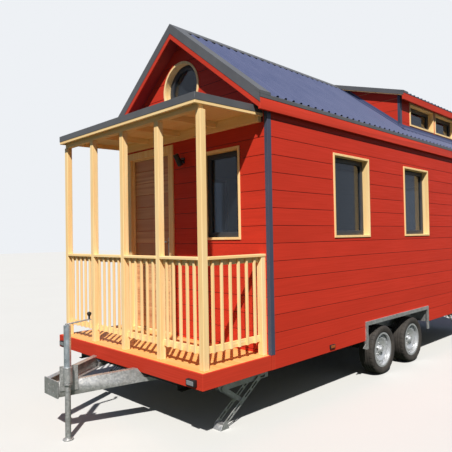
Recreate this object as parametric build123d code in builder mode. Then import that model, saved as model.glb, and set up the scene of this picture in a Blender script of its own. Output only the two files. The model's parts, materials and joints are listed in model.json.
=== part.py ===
from build123d import *
import math
import os

# Tiny house on a two-axle trailer, in millimetres, +Z up, standing on the ground at z = 0.
# The porch and the drawbar face -Y, and the origin is under the middle of the whole thing.

# Trailer and platform
floor_clear = 470.0
skirt_height = 132.0
skirt_thickness = 22.0
platform_width = 2430.0
porch_depth = 834.0
house_length = 5560.0
nose_reach = 670.0
deck_board_thickness = 28.0
chassis_rail_gap = 99.0
chassis_rail_height = 85.0
chassis_rail_width = 60.0
chassis_steel = 5.0
chassis_end_inset = 60.0
member_count = 6
member_height = 45.0

# Drawbar
drawbar_spread = 800.0
drawbar_angle = 23.3
drawbar_droop = 3.7
drawbar_height = 127.0
drawbar_rise = 46.0
drawbar_flange = 55.0
drawbar_steel = 6.0
drawbar_tail_gap = 92.7
drawbar_cut_top = 42.0
drawbar_cut_bottom = 20.0
nose_plate_thickness = 12.0
nose_margin = 8.0
coupling_bolt_radius = 7.0
coupling_bolt_spacing = 90.0
coupling_bolt_rise = 50.0

# Jack on the drawbar
jack_stand = 54.7
jack_from_nose = 58.0
jack_top_rise = 440.0
jack_cap = 10.0
jack_tube_radius = 30.0
jack_leg_radius = 24.0
jack_leg_rise = 14.0
jack_foot_radius = 45.0
jack_foot_height = 8.0
jack_tube_drop = 58.0
jack_clamp_drop = 40.0
jack_clamp_rise = 88.0
jack_clamp_wall = 8.0
jack_ring_height = 10.0
jack_plate_length = 150.0
jack_plate_thickness = 10.0
jack_plate_shift = 12.0
jack_plate_drop = 121.0
crank_length = 205.0
crank_thickness = 8.0
crank_width = 26.0
crank_rise = 14.0
crank_lift = 5.0
crank_shaft_radius = 9.0
crank_shaft_depth = 31.0
knob_radius = 19.0
knob_height = 62.0
knob_stem_radius = 8.0

# Wheels and axles
tyre_radius = 290.0
tyre_width = 186.0
tyre_bead_radius = 190.0
tyre_bead_inset = 22.0
tyre_flank = 5.0
tyre_round = 15.0
wheel_outer_inset = 7.0
wheel_spacing = 780.0
axle_centre_from_front = 3324.0
rim_lip_radius = 205.0
rim_steel = 6.0
rim_disc_front = 50.0
rim_disc_back = 24.0
rim_well_radius = 96.0
rim_hole_count = 16
rim_hole_radius = 11.0
rim_hole_circle = 152.0
hub_radius = 46.0
hub_half_length = 40.0
hub_cap_radius = 31.0
hub_cap_length = 26.0
stub_radius = 20.0
stub_end_gap = 4.0
running_clearance = 0.06
axle_tube_size = 76.0
axle_arm_width = 42.0
axle_arm_reach = 150.0
axle_arm_gap = 20.0

# Wheel arch
arch_length = 1687.0
arch_cover = 28.0
arch_drop = 98.0
arch_trim_face = 46.0
arch_trim_proud = 18.0
arch_gusset = 60.0
arch_gusset_thickness = 6.0
wheel_box_wall = 4.0
tyre_headroom = 76.0
wheel_box_depth = 236.0

# Corner steadies
steady_from_side = 250.0
steady_from_front = 430.0
steady_from_rear = 300.0
steady_pivot_drop = 118.0
steady_foot_height = 45.0
steady_arm_length = 550.0
steady_plate = 5.0
steady_half_width = 50.0
steady_step = 10.0
steady_arm_radius = 22.0
steady_link_radius = 20.0
steady_lip = 20.0
steady_ear = 60.0
steady_pin_radius = 8.0
trunnion_radius = 12.0
trunnion_clearance = 0.3
steady_fold = 27.0
steady_slot_radius = 9.0
steady_slot_length = 88.0
steady_slot_spots = (0.15, 0.35, 0.65, 0.85)
shoe_half_length = 52.0
shoe_heel = 30.0

# Walls
wall_thickness = 130.0
window_head_drop = 293.8
window_height = 905.0
side_window_width = 745.0
side_window_spots = (2266.0, 3897.0)
front_window_width = 560.0
front_window_from_side = 349.0
lining_thickness = 25.0
lining_proud = 14.0
sash_width = 52.0
sash_thickness = 58.0
sash_recess = 62.0
glass_thickness = 22.0
round_window_drop = 676.0
round_window_radius = 296.0

# Doorway
door_leaf_width = 727.0
door_drop = 220.8
door_leaf_thickness = 45.0
door_from_side = 250.0
door_gap = 5.0
door_swing_gap = 8.0
door_recess = 45.0
jamb_thickness = 30.0
stop_width = 16.0
stop_depth = 18.0
casing_width = 82.0
casing_thickness = 18.0
threshold_height = 12.0
hinge_barrel_radius = 8.0
hinge_stand = 9.0
hinge_pin_radius = 4.0
hinge_barrel_length = 44.0
hinge_leaf_thickness = 3.0
hinge_leaf_width = 42.0
hinge_clearance = 0.5
hinge_rise = 260.0
hinge_drop = 266.0
handle_height = 1030.0
handle_from_edge = 60.0
handle_plate_width = 38.0
handle_plate_height = 200.0
handle_plate_thickness = 4.0
handle_stand = 42.0
handle_radius = 9.0
handle_stem_radius = 7.0
handle_length = 120.0

# Roof
ridge_height = 3974.0
roof_pitch = 38.3
eave_overhang = 49.0
roof_build_up = 130.0
sheet_drop = 22.0
gable_overhang = 149.0
fascia_thickness = 22.0
flashing_thickness = 3.0
verge_face = 86.0
verge_lap = 150.0
drip_face = 58.0
ridge_lap = 150.0

# Ribbed roof sheets
rib_pitch = 120.0
rib_base = 50.0
rib_angle = 60.0
rib_from_verge = 137.5
sheet_steel = 2.0
sheet_gap = 1.0
sheet_ridge_gap = 10.0

# Dormers
dormer_from_rear = 200.0
dormer_setback = 214.0
dormer_pitch = 16.5
dormer_overhang = 88.0
dormer_side_overhang = 70.0
dormer_build_up = 66.0
dormer_fascia_face = 123.0
dormer_window_width = 825.0
dormer_sill_rise = 37.5
dormer_head_drop = 56.7
dormer_window_gap = 45.0
dormer_window_margin = 281.0
dormer_verge_face = 62.0
dormer_drip_face = 30.0
cheek_gap = 20.0

# Corner trims
trim_width = 54.0
trim_return = 40.0
trim_thickness = 6.0

# Porch
post_size = 59.0
post_setback = 60.5
post_from_side = 78.0
porch_bays = 4
porch_roof_setback = 44.0
porch_roof_clear = 13.7
porch_roof_fall = 1.5
porch_roof_board = 40.0
porch_edge_face = 62.0
porch_edge_lap = 60.0
porch_fascia_bottom = 89.0
porch_fascia_thickness = 24.0
porch_beam_drop = 126.0
porch_rafter_height = 58.0
porch_rafter_width = 45.0
ledger_height = 98.0
railing_top = 916.0
cap_thickness = 26.0
cap_width = 69.0
cap_overhang = 5.0
upper_rail_height = 50.0
rail_thickness = 22.0
lower_rail_bottom = 123.0
lower_rail_height = 56.0
baluster_width = 24.0
baluster_depth = 20.0
baluster_recess = 15.0
baluster_from_post = 60.0
front_balusters = 5
side_balusters = 6

# Lamps
lamp_from_door = 257.0
lamp_drop = 210.0
lamp_radius = 30.0
lamp_length = 130.0
lamp_tilt = 32.0
lamp_reach = 62.0
lamp_plate = 12.0
lamp_arm_radius = 9.0
marker_length = 104.0
marker_height = 54.0
marker_depth = 34.0
marker_from_side = 118.0
marker_above_skirt = 52.0
side_marker_length = 90.0
side_marker_height = 42.0
side_marker_depth = 20.0
side_marker_from_front = 1800.0

# Worked out from the above
deck_top = floor_clear + skirt_height
wall_face = platform_width / 2
slope = math.tan(math.radians(roof_pitch))
roof_depth = roof_build_up / math.cos(math.radians(roof_pitch))
sheet_depth = sheet_drop / math.cos(math.radians(roof_pitch))
flashing_depth = flashing_thickness / math.cos(math.radians(roof_pitch))
verge_depth = verge_face / math.cos(math.radians(roof_pitch))
dormer_slope = math.tan(math.radians(dormer_pitch))
dormer_depth = dormer_build_up / math.cos(math.radians(dormer_pitch))
dormer_sheet = sheet_drop / math.cos(math.radians(dormer_pitch))
dormer_flashing = flashing_thickness / math.cos(math.radians(dormer_pitch))
dormer_verge_depth = dormer_verge_face / math.cos(math.radians(dormer_pitch))
eave_half_width = wall_face + eave_overhang
dormer_face = wall_face - dormer_setback
dormer_eave = dormer_face + dormer_overhang
overall_length = nose_reach + porch_depth + house_length + gable_overhang
skirt_front = nose_reach - overall_length / 2
front_face = skirt_front + porch_depth
rear_face = front_face + house_length
roof_front = front_face - gable_overhang
roof_rear = rear_face + gable_overhang
front_inner = front_face + wall_thickness
rear_inner = rear_face - wall_thickness
inner_face = wall_face - wall_thickness
platform_edge = wall_face - skirt_thickness
axle_centre = skirt_front + axle_centre_from_front
wheel_rows = (axle_centre - wheel_spacing / 2, axle_centre + wheel_spacing / 2)
arch_front = axle_centre - arch_length / 2
arch_rear = axle_centre + arch_length / 2
box_front = arch_front + arch_trim_face / 2
box_rear = arch_rear - arch_trim_face / 2
box_inner = wall_face - wheel_box_depth
wheel_box_top = 2 * tyre_radius + tyre_headroom
arch_top = wheel_box_top + arch_cover
arch_bottom = floor_clear - arch_drop
chassis_spacing = 2 * (box_inner - chassis_rail_gap - chassis_rail_width)
wall_top = ridge_height - wall_face * slope - roof_depth
window_sill = wall_top - window_head_drop - window_height
round_window_height = ridge_height - round_window_drop
dormer_length = 2 * dormer_window_margin + 2 * dormer_window_width + dormer_window_gap
dormer_rear = rear_face - dormer_from_rear
dormer_front = dormer_rear - dormer_length
dormer_start = dormer_front - dormer_side_overhang
dormer_end = dormer_rear + dormer_side_overhang
porch_roof_half = wall_face - porch_roof_setback
porch_fall = math.tan(math.radians(porch_roof_fall))
porch_under = ridge_height - porch_roof_half * slope - roof_depth
porch_roof_front_top = porch_under - porch_roof_clear - porch_depth * porch_fall
porch_beam_low = porch_roof_front_top - porch_beam_drop
sides = ((1, "right"), (-1, "left"))

os.makedirs("parts", exist_ok=True)


def write(piece, name):
    """Label a finished piece and write it as its own file."""
    piece.part.label = name
    export_step(piece.part, f"parts/{name}.step")


def across(y):
    """The upright plane across the house at y, seen from the front."""
    return Plane.XZ.offset(-y)


def roof_top(x):
    """Height of the flashing line of the main roof."""
    return ridge_height - abs(x) * slope


def dormer_top(x):
    """Height of the flashing line of the dormer roofs."""
    return ridge_height - abs(x) * dormer_slope


def chevron(half_width, upper, lower, fall):
    """Outline of a band that follows both roof slopes, between two depths below the top."""
    edge = ridge_height - half_width * fall
    return [
        (-half_width, edge - upper),
        (0, ridge_height - upper),
        (half_width, edge - upper),
        (half_width, edge - lower),
        (0, ridge_height - lower),
        (-half_width, edge - lower),
    ]


def slope_band(side, inner, outer, upper, lower, fall):
    """Outline of a band on one roof slope, between two distances from the ridge."""
    inner_top = ridge_height - inner * fall
    outer_top = ridge_height - outer * fall
    return [
        (side * inner, inner_top - upper),
        (side * outer, outer_top - upper),
        (side * outer, outer_top - lower),
        (side * inner, inner_top - lower),
    ]


# Platform: a framed floor under the whole house, with the wheel boxes let into it
sub_floor_height = skirt_height - deck_board_thickness
with BuildPart() as platform_floor:
    with BuildSketch(Plane.XY.offset(floor_clear)):
        with Locations((0, (skirt_front + rear_face) / 2)):
            Rectangle(2 * platform_edge, rear_face - skirt_front - 2 * skirt_thickness)
    extrude(amount=sub_floor_height)
    with BuildSketch(Plane.XY.offset(floor_clear + sub_floor_height)):
        with Locations((0, (front_face + rear_face) / 2)):
            Rectangle(2 * platform_edge, house_length - 2 * skirt_thickness)
    extrude(amount=deck_board_thickness)
    with BuildSketch(Plane.XY.offset(floor_clear)):
        for side, hand in sides:
            with Locations((side * (box_inner + platform_edge) / 2, axle_centre)):
                Rectangle(platform_edge - box_inner, box_rear - box_front)
    extrude(amount=skirt_height, mode=Mode.SUBTRACT)
write(platform_floor, "platform_floor")

# Porch deck of boards, and the red skirt round the porch
with BuildPart() as porch_deck:
    with BuildSketch(Plane.XY.offset(deck_top - deck_board_thickness)):
        with Locations((0, skirt_front + skirt_thickness + porch_depth / 2)):
            Rectangle(2 * platform_edge, porch_depth)
    extrude(amount=deck_board_thickness)
write(porch_deck, "porch_deck")

with BuildPart() as porch_skirt:
    with BuildSketch(Plane.XY.offset(floor_clear)):
        with Locations((0, skirt_front + porch_depth / 2)):
            Rectangle(platform_width, porch_depth)
        with Locations((0, skirt_front + skirt_thickness + porch_depth / 2)):
            Rectangle(2 * platform_edge, porch_depth, mode=Mode.SUBTRACT)
    extrude(amount=skirt_height)
write(porch_skirt, "porch_skirt")

# Chassis: two channel rails and the cross members between them
rail_front = skirt_front + chassis_end_inset
rail_rear = rear_face - chassis_end_inset
rail_x = (chassis_spacing + chassis_rail_width) / 2
rail_middle = floor_clear - chassis_rail_height / 2
member_step = (rail_rear - rail_front - chassis_rail_width) / (member_count - 1)
with BuildPart() as chassis_frame:
    with BuildSketch(across(rail_front)):
        for side, hand in sides:
            with Locations((side * rail_x, rail_middle)):
                Rectangle(chassis_rail_width, chassis_rail_height)
            with Locations((side * (rail_x + chassis_steel), rail_middle)):
                Rectangle(
                    chassis_rail_width,
                    chassis_rail_height - 2 * chassis_steel,
                    mode=Mode.SUBTRACT,
                )
    extrude(amount=rail_front - rail_rear)
    with BuildSketch(Plane.XY.offset(floor_clear - member_height)):
        for row in range(member_count):
            with Locations((0, rail_front + chassis_rail_width / 2 + row * member_step)):
                Rectangle(chassis_spacing, chassis_rail_width)
    extrude(amount=member_height)
write(chassis_frame, "chassis_frame")

# Drawbar: two channel beams that run together and droop towards the nose
turn = math.radians(drawbar_angle)
droop = math.tan(math.radians(drawbar_droop))
nose_y = skirt_front - nose_reach + nose_plate_thickness
drawbar_top = floor_clear + drawbar_rise
tail_top = floor_clear - member_height
tail_low = drawbar_top - drawbar_height
tail_spread = (chassis_spacing - drawbar_spread) / 2 - drawbar_tail_gap


def beam_x(y):
    """Distance of a drawbar beam's outer face from the middle, at y."""
    return drawbar_spread / 2 + (y - skirt_front) * math.tan(turn)


tail_end = skirt_front + tail_spread / math.tan(turn)
beam_half = drawbar_height / 2
with BuildPart() as drawbar_beams:
    for side, hand in sides:
        along = Vector(side * math.sin(turn), math.cos(turn), droop)
        inward = Vector(-side * math.cos(turn), math.sin(turn), 0)
        start = Vector(side * beam_x(skirt_front), skirt_front, drawbar_top)
        start += along.normalized() * drawbar_height
        section = Plane(origin=start, x_dir=inward, z_dir=along)
        down = 1 if section.y_dir.Z < 0 else -1
        with BuildSketch(section):
            with Locations((drawbar_flange / 2, down * beam_half)):
                Rectangle(drawbar_flange, drawbar_height)
            with Locations((drawbar_flange / 2 + drawbar_steel, down * beam_half)):
                Rectangle(
                    drawbar_flange, drawbar_height - 2 * drawbar_steel, mode=Mode.SUBTRACT
                )
        extrude(amount=-nose_reach / math.cos(turn) - drawbar_height)
    with BuildSketch(Plane.YZ.offset(-wall_face)):
        with BuildLine():
            Polyline(
                (skirt_front - drawbar_cut_top, drawbar_top),
                (skirt_front - drawbar_cut_top, drawbar_top + drawbar_height),
                (tail_end, drawbar_top + drawbar_height),
                (tail_end, tail_low - drawbar_height),
                (skirt_front + drawbar_cut_bottom, tail_low - drawbar_height),
                (skirt_front + drawbar_cut_bottom, tail_top),
                close=True,
            )
        make_face()
    extrude(amount=platform_width, mode=Mode.SUBTRACT)
    with BuildSketch(across(nose_y)):
        with Locations((0, floor_clear)):
            Rectangle(platform_width, floor_clear)
    extrude(amount=nose_reach, mode=Mode.SUBTRACT)
    for side, hand in sides:
        with BuildSketch(Plane.XY.offset(tail_low)):
            with BuildLine():
                Polyline(
                    (side * beam_x(skirt_front), skirt_front),
                    (side * beam_x(tail_end), tail_end),
                    (side * (beam_x(tail_end) - drawbar_flange), tail_end),
                    (side * (beam_x(skirt_front) - drawbar_flange), skirt_front),
                    close=True,
                )
            make_face()
        extrude(amount=tail_top - tail_low)
write(drawbar_beams, "drawbar_beams")

nose_drop = (skirt_front - nose_y) * droop / math.cos(turn)
nose_middle = drawbar_top - nose_drop - drawbar_height / 2
nose_half = beam_x(nose_y) + nose_margin
with BuildPart() as drawbar_nose:
    with BuildSketch(across(nose_y)):
        with Locations((0, nose_middle)):
            Rectangle(2 * nose_half, drawbar_height + 2 * nose_margin)
        with Locations((0, nose_middle)):
            with GridLocations(coupling_bolt_spacing, coupling_bolt_rise, 2, 2):
                Circle(coupling_bolt_radius, mode=Mode.SUBTRACT)
    extrude(amount=nose_plate_thickness)
write(drawbar_nose, "drawbar_nose")

# Jack: the outer tube is clamped to a plate on the right-hand beam, the leg slides inside it
jack_y = skirt_front - nose_reach + jack_from_nose
jack_x = beam_x(jack_y) + jack_stand / math.cos(turn)
jack_top = drawbar_top + jack_top_rise
jack_tube_bottom = drawbar_top - jack_tube_drop
jack_clamp_low = drawbar_top - jack_clamp_drop
jack_clamp_high = drawbar_top + jack_clamp_rise
jack_plate_low = drawbar_top - jack_plate_drop
jack_bore = jack_leg_radius + running_clearance
crank_bore = crank_shaft_radius + running_clearance
jack_place = Plane(
    origin=(jack_x, jack_y, 0), x_dir=(math.sin(turn), math.cos(turn), 0), z_dir=(0, 0, 1)
)
clamp_radius = jack_tube_radius + jack_clamp_wall
with BuildPart() as jack_tube:
    with BuildSketch(jack_place.offset(jack_plate_low)):
        with Locations((jack_plate_shift, jack_stand - jack_plate_thickness / 2)):
            Rectangle(jack_plate_length, jack_plate_thickness)
    extrude(amount=jack_clamp_high - jack_plate_low)
    with BuildSketch(jack_place.offset(jack_clamp_low)):
        Circle(clamp_radius)
        with Locations((0, jack_stand / 2)):
            Rectangle(2 * clamp_radius, jack_stand - jack_plate_thickness)
    extrude(amount=jack_clamp_high - jack_clamp_low)
    with BuildSketch(jack_place.offset(jack_tube_bottom)):
        Circle(clamp_radius)
    extrude(amount=jack_ring_height)
    with BuildSketch(jack_place.offset(jack_tube_bottom)):
        Circle(jack_tube_radius)
    extrude(amount=jack_top - jack_tube_bottom)
    with BuildSketch(jack_place.offset(jack_tube_bottom)):
        Circle(jack_bore)
    extrude(amount=jack_top - jack_cap - jack_tube_bottom, mode=Mode.SUBTRACT)
    with BuildSketch(jack_place.offset(jack_top - jack_cap)):
        Circle(crank_bore)
    extrude(amount=jack_cap, mode=Mode.SUBTRACT)
write(jack_tube, "jack_tube")

with BuildPart() as jack_leg:
    with BuildSketch(jack_place):
        Circle(jack_foot_radius)
    extrude(amount=jack_foot_height)
    with BuildSketch(jack_place):
        Circle(jack_leg_radius)
    extrude(amount=drawbar_top + jack_leg_rise)
write(jack_leg, "jack_leg")

crank_low = jack_top + crank_lift
knob_low = crank_low + crank_rise + crank_thickness
with BuildPart() as jack_crank:
    with BuildSketch(jack_place.offset(jack_top - crank_shaft_depth)):
        Circle(crank_shaft_radius)
    extrude(amount=crank_shaft_depth + crank_lift + crank_thickness)
    with BuildSketch(Plane.YZ.offset(jack_x - crank_width / 2)):
        with BuildLine():
            Polyline(
                (jack_y - crank_width / 2, crank_low),
                (jack_y + crank_width / 2, crank_low),
                (jack_y + crank_length, crank_low + crank_rise),
                (jack_y + crank_length + crank_width / 2, crank_low + crank_rise),
                (jack_y + crank_length + crank_width / 2, knob_low),
                (jack_y + crank_length, knob_low),
                (jack_y - crank_width / 2, crank_low + crank_thickness),
                close=True,
            )
        make_face()
    extrude(amount=crank_width)
write(jack_crank, "jack_crank")

with BuildPart() as crank_knob:
    with BuildSketch(Plane.YZ.offset(jack_x)):
        with BuildLine():
            Polyline(
                (jack_y + crank_length, knob_low),
                (jack_y + crank_length + knob_stem_radius, knob_low),
                (jack_y + crank_length + knob_stem_radius, knob_low + knob_height / 3),
                (jack_y + crank_length + knob_radius, knob_low + knob_height * 2 / 3),
                (jack_y + crank_length + knob_radius, knob_low + knob_height - knob_stem_radius),
                (jack_y + crank_length + knob_stem_radius, knob_low + knob_height),
                (jack_y + crank_length, knob_low + knob_height),
                close=True,
            )
        make_face()
    revolve(axis=Axis((jack_x, jack_y + crank_length, 0), (0, 0, 1)), revolution_arc=360)
write(crank_knob, "crank_knob")

# Axles: a square tube under the rails, and a trailing arm with a stub at each end
wheel_x = wall_face - wheel_outer_inset - tyre_width / 2
axle_arm_inner = wheel_x - tyre_width / 2 - axle_arm_gap - axle_arm_width
axle_tube_height = floor_clear - chassis_rail_height - axle_tube_size / 2
with BuildPart() as axles:
    for row in wheel_rows:
        with BuildSketch(Plane.YZ.offset(-axle_arm_inner)):
            with Locations((row - axle_arm_reach, axle_tube_height)):
                Rectangle(axle_tube_size, axle_tube_size)
        extrude(amount=2 * axle_arm_inner)
        for side, hand in sides:
            with BuildSketch(Plane.YZ.offset(side * axle_arm_inner)):
                with Locations((row - axle_arm_reach, axle_tube_height)):
                    Circle(axle_tube_size / 2)
                with Locations((row, tyre_radius)):
                    Circle(stub_radius * 2)
                make_hull()
            extrude(amount=side * axle_arm_width)
            with BuildSketch(Plane.YZ.offset(side * axle_arm_inner)):
                with Locations((row, tyre_radius)):
                    Circle(stub_radius)
            extrude(amount=side * (wheel_x + hub_half_length - stub_end_gap - axle_arm_inner))
write(axles, "axles")

# Wheels: a tyre and a steel rim each, turning on the stubs
tyre_half = tyre_width / 2
bead_half = tyre_half - tyre_bead_inset
bore_radius = stub_radius + running_clearance


def tyre(side, row):
    """Tyre turned about its own axle line."""
    centre = (side * wheel_x, row, tyre_radius)
    flank_radius = (tyre_radius + rim_lip_radius) / 2
    with BuildPart() as part:
        with BuildSketch(Plane(origin=centre, x_dir=(side, 0, 0), z_dir=(0, -side, 0))):
            with BuildLine():
                Polyline(
                    (-bead_half, tyre_bead_radius),
                    (bead_half, tyre_bead_radius),
                    (bead_half, rim_lip_radius),
                    (tyre_half - tyre_flank, rim_lip_radius + tyre_round),
                    (tyre_half, flank_radius),
                    (tyre_half - tyre_flank, tyre_radius - tyre_round),
                    (bead_half, tyre_radius),
                    (-bead_half, tyre_radius),
                    (-tyre_half + tyre_flank, tyre_radius - tyre_round),
                    (-tyre_half, flank_radius),
                    (-tyre_half + tyre_flank, rim_lip_radius + tyre_round),
                    (-bead_half, rim_lip_radius),
                    close=True,
                )
            make_face()
        revolve(axis=Axis(centre, (1, 0, 0)), revolution_arc=360)
    return part


def rim(side, row):
    """Steel rim with a dished disc, a row of round holes, and a hub with its cap."""
    centre = (side * wheel_x, row, tyre_radius)
    barrel = tyre_bead_radius - rim_steel
    lip = bead_half + rim_steel
    hole_start = side * (wheel_x + rim_disc_back)
    with BuildPart() as part:
        with BuildSketch(Plane(origin=centre, x_dir=(side, 0, 0), z_dir=(0, -side, 0))):
            with BuildLine():
                Polyline(
                    (-lip, barrel),
                    (lip, barrel),
                    (lip, rim_lip_radius),
                    (bead_half, rim_lip_radius),
                    (bead_half, tyre_bead_radius),
                    (-bead_half, tyre_bead_radius),
                    (-bead_half, rim_lip_radius),
                    (-lip, rim_lip_radius),
                    close=True,
                )
            make_face()
            with BuildLine():
                Polyline(
                    (-hub_half_length, bore_radius),
                    (hub_half_length, bore_radius),
                    (hub_half_length, 0),
                    (hub_half_length + hub_cap_length, 0),
                    (hub_half_length + hub_cap_length, hub_cap_radius - rim_steel),
                    (hub_half_length + hub_cap_length - rim_steel, hub_cap_radius),
                    (hub_half_length + rim_steel, hub_cap_radius),
                    (hub_half_length, hub_radius),
                    (rim_disc_back + rim_steel, hub_radius),
                    (rim_disc_back + rim_steel, rim_well_radius),
                    (rim_disc_front, rim_hole_circle - 2 * rim_hole_radius),
                    (rim_disc_front - rim_steel, rim_hole_circle + 2 * rim_hole_radius),
                    (rim_disc_back, tyre_bead_radius - rim_steel / 2),
                    (rim_disc_back - rim_steel, barrel),
                    (rim_disc_front - 2 * rim_steel, rim_hole_circle + 2 * rim_hole_radius),
                    (rim_disc_front - rim_steel, rim_hole_circle - 2 * rim_hole_radius),
                    (rim_disc_back, rim_well_radius),
                    (rim_disc_back, hub_radius),
                    (-hub_half_length, hub_radius),
                    close=True,
                )
            make_face()
        revolve(axis=Axis(centre, (1, 0, 0)), revolution_arc=360)
        with BuildSketch(Plane(origin=(hole_start, row, tyre_radius), z_dir=(side, 0, 0))):
            with PolarLocations(rim_hole_circle, rim_hole_count, 180 / rim_hole_count):
                Circle(rim_hole_radius)
        extrude(amount=rim_disc_front, mode=Mode.SUBTRACT)
    return part


for side, hand in sides:
    for end, row in zip(("front", "rear"), wheel_rows):
        write(tyre(side, row), f"tyre_{end}_{hand}")
        write(rim(side, row), f"rim_{end}_{hand}")

# Wheel boxes let into the floor and walls, with the galvanised trim round each arch
with BuildPart() as wheel_boxes:
    for side, hand in sides:
        with BuildSketch(Plane.XY.offset(floor_clear)):
            with Locations((side * (box_inner + wall_face) / 2, axle_centre)):
                Rectangle(wheel_box_depth, box_rear - box_front)
        extrude(amount=wheel_box_top - floor_clear)
        with BuildSketch(Plane.XY.offset(floor_clear)):
            with Locations((side * (box_inner + wall_face + wheel_box_wall) / 2, axle_centre)):
                Rectangle(wheel_box_depth - wheel_box_wall, box_rear - box_front - 2 * wheel_box_wall)
        extrude(amount=wheel_box_top - wheel_box_wall - floor_clear, mode=Mode.SUBTRACT)
        with BuildSketch(Plane.YZ.offset(side * wall_face)):
            with Locations((axle_centre, (arch_top + arch_bottom) / 2)):
                Rectangle(arch_length, arch_top - arch_bottom)
            with Locations((axle_centre, (arch_top + arch_bottom) / 2 - arch_trim_face)):
                Rectangle(
                    arch_length - 2 * arch_trim_face, arch_top - arch_bottom, mode=Mode.SUBTRACT
                )
        extrude(amount=side * arch_trim_proud)
        with BuildSketch(Plane.YZ.offset(side * wall_face)):
            with BuildLine():
                Polyline(
                    (arch_front, arch_bottom),
                    (arch_front, arch_bottom + arch_gusset),
                    (arch_front - arch_gusset, arch_bottom + arch_gusset / 3),
                    close=True,
                )
            make_face()
        extrude(amount=side * arch_gusset_thickness)
write(wheel_boxes, "wheel_boxes")

# Corner steadies: an arm whose foot goes straight up and down, led by a link half as long
steady_x = wall_face - steady_from_side
steady_pivot_height = floor_clear - steady_pivot_drop
steady_rest = math.asin((steady_pivot_height - steady_foot_height) / steady_arm_length)
steady_folded = steady_rest - math.radians(steady_fold)
steady_link_length = steady_arm_length / 2
slide_near = steady_arm_length * math.cos(steady_rest)
slide_far = steady_arm_length * math.cos(steady_folded)
steady_places = (
    ("front", skirt_front + steady_from_front, 1),
    ("rear", rear_face - steady_from_rear, -1),
)
bracket_half = steady_half_width - 2 * steady_step
link_half = steady_half_width - steady_step
pin_bore = steady_pin_radius + running_clearance
with BuildPart() as steady_brackets:
    for side, hand in sides:
        for end, pivot_y, way in steady_places:
            far_edge = pivot_y + way * (slide_far + steady_ear)
            with BuildSketch(Plane.YZ.offset(side * steady_x - bracket_half)):
                with BuildLine():
                    Polyline(
                        (pivot_y - way * 2 * steady_ear, floor_clear),
                        (pivot_y - way * steady_ear / 2, steady_pivot_height - steady_lip),
                        (far_edge, steady_pivot_height - steady_lip),
                        (far_edge, floor_clear),
                        close=True,
                    )
                make_face()
                with Locations((pivot_y, steady_pivot_height)):
                    Circle(pin_bore, mode=Mode.SUBTRACT)
                with Locations(
                    (pivot_y + way * (slide_near + slide_far) / 2, steady_pivot_height)
                ):
                    SlotCenterToCenter(
                        slide_far - slide_near + trunnion_radius,
                        2 * (trunnion_radius + trunnion_clearance),
                        mode=Mode.SUBTRACT,
                    )
            extrude(amount=2 * bracket_half)
            with BuildSketch(Plane.XY.offset(0)):
                with Locations((side * steady_x, (pivot_y + far_edge) / 2)):
                    Rectangle(2 * (bracket_half - steady_plate), 2 * house_length)
            extrude(amount=floor_clear - steady_plate, mode=Mode.SUBTRACT)
write(steady_brackets, "steady_brackets")


def steady_link(side, pivot_y, way):
    """Two plates from the bracket's pin to the middle of the arm, and both pins."""
    mid_y = pivot_y + way * steady_link_length * math.cos(steady_rest)
    mid_z = steady_pivot_height - steady_link_length * math.sin(steady_rest)
    with BuildPart() as part:
        for edge in (-link_half, link_half - steady_plate):
            with BuildSketch(Plane.YZ.offset(side * steady_x + edge)):
                with Locations((pivot_y, steady_pivot_height), (mid_y, mid_z)):
                    Circle(steady_link_radius)
                make_hull()
            extrude(amount=steady_plate)
        with BuildSketch(Plane.YZ.offset(side * steady_x - link_half)):
            with Locations((pivot_y, steady_pivot_height)):
                Circle(steady_pin_radius)
        extrude(amount=2 * link_half)
        with BuildSketch(Plane.YZ.offset(side * steady_x - steady_half_width)):
            with Locations((mid_y, mid_z)):
                Circle(steady_pin_radius)
        extrude(amount=2 * steady_half_width)
    return part


def steady_arm(side, pivot_y, way):
    """Two slotted plates from the shoe to the trunnion that slides in the bracket."""
    foot = Vector(pivot_y, steady_foot_height)
    head = Vector(pivot_y + way * slide_near, steady_pivot_height)
    middle = (foot + head) / 2
    tilt = math.degrees(math.atan2(head.Y - foot.Y, head.X - foot.X))
    with BuildPart() as part:
        for edge in (-steady_half_width, steady_half_width - steady_plate):
            with BuildSketch(Plane.YZ.offset(side * steady_x + edge)):
                with Locations((foot.X, foot.Y), (head.X, head.Y)):
                    Circle(steady_arm_radius)
                make_hull()
                with Locations((middle.X, middle.Y)):
                    Circle(pin_bore, mode=Mode.SUBTRACT)
                for spot in steady_slot_spots:
                    place = foot + (head - foot) * spot
                    with Locations(Location((place.X, place.Y, 0), (0, 0, tilt))):
                        SlotCenterToCenter(
                            steady_slot_length - 2 * steady_slot_radius,
                            2 * steady_slot_radius,
                            mode=Mode.SUBTRACT,
                        )
            extrude(amount=steady_plate)
        with BuildSketch(Plane.YZ.offset(side * steady_x - steady_half_width)):
            with Locations((head.X, head.Y)):
                Circle(trunnion_radius)
        extrude(amount=2 * steady_half_width)
        with BuildSketch(Plane.YZ.offset(side * steady_x - steady_half_width)):
            with BuildLine():
                Polyline(
                    (pivot_y - shoe_half_length, 0),
                    (pivot_y + shoe_half_length, 0),
                    (pivot_y + shoe_heel, steady_foot_height),
                    (pivot_y - shoe_heel, steady_foot_height),
                    close=True,
                )
            make_face()
        extrude(amount=2 * steady_half_width)
    return part


for side, hand in sides:
    for end, pivot_y, way in steady_places:
        write(steady_link(side, pivot_y, way), f"steady_link_{end}_{hand}")
        write(steady_arm(side, pivot_y, way), f"steady_arm_{end}_{hand}")

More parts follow.
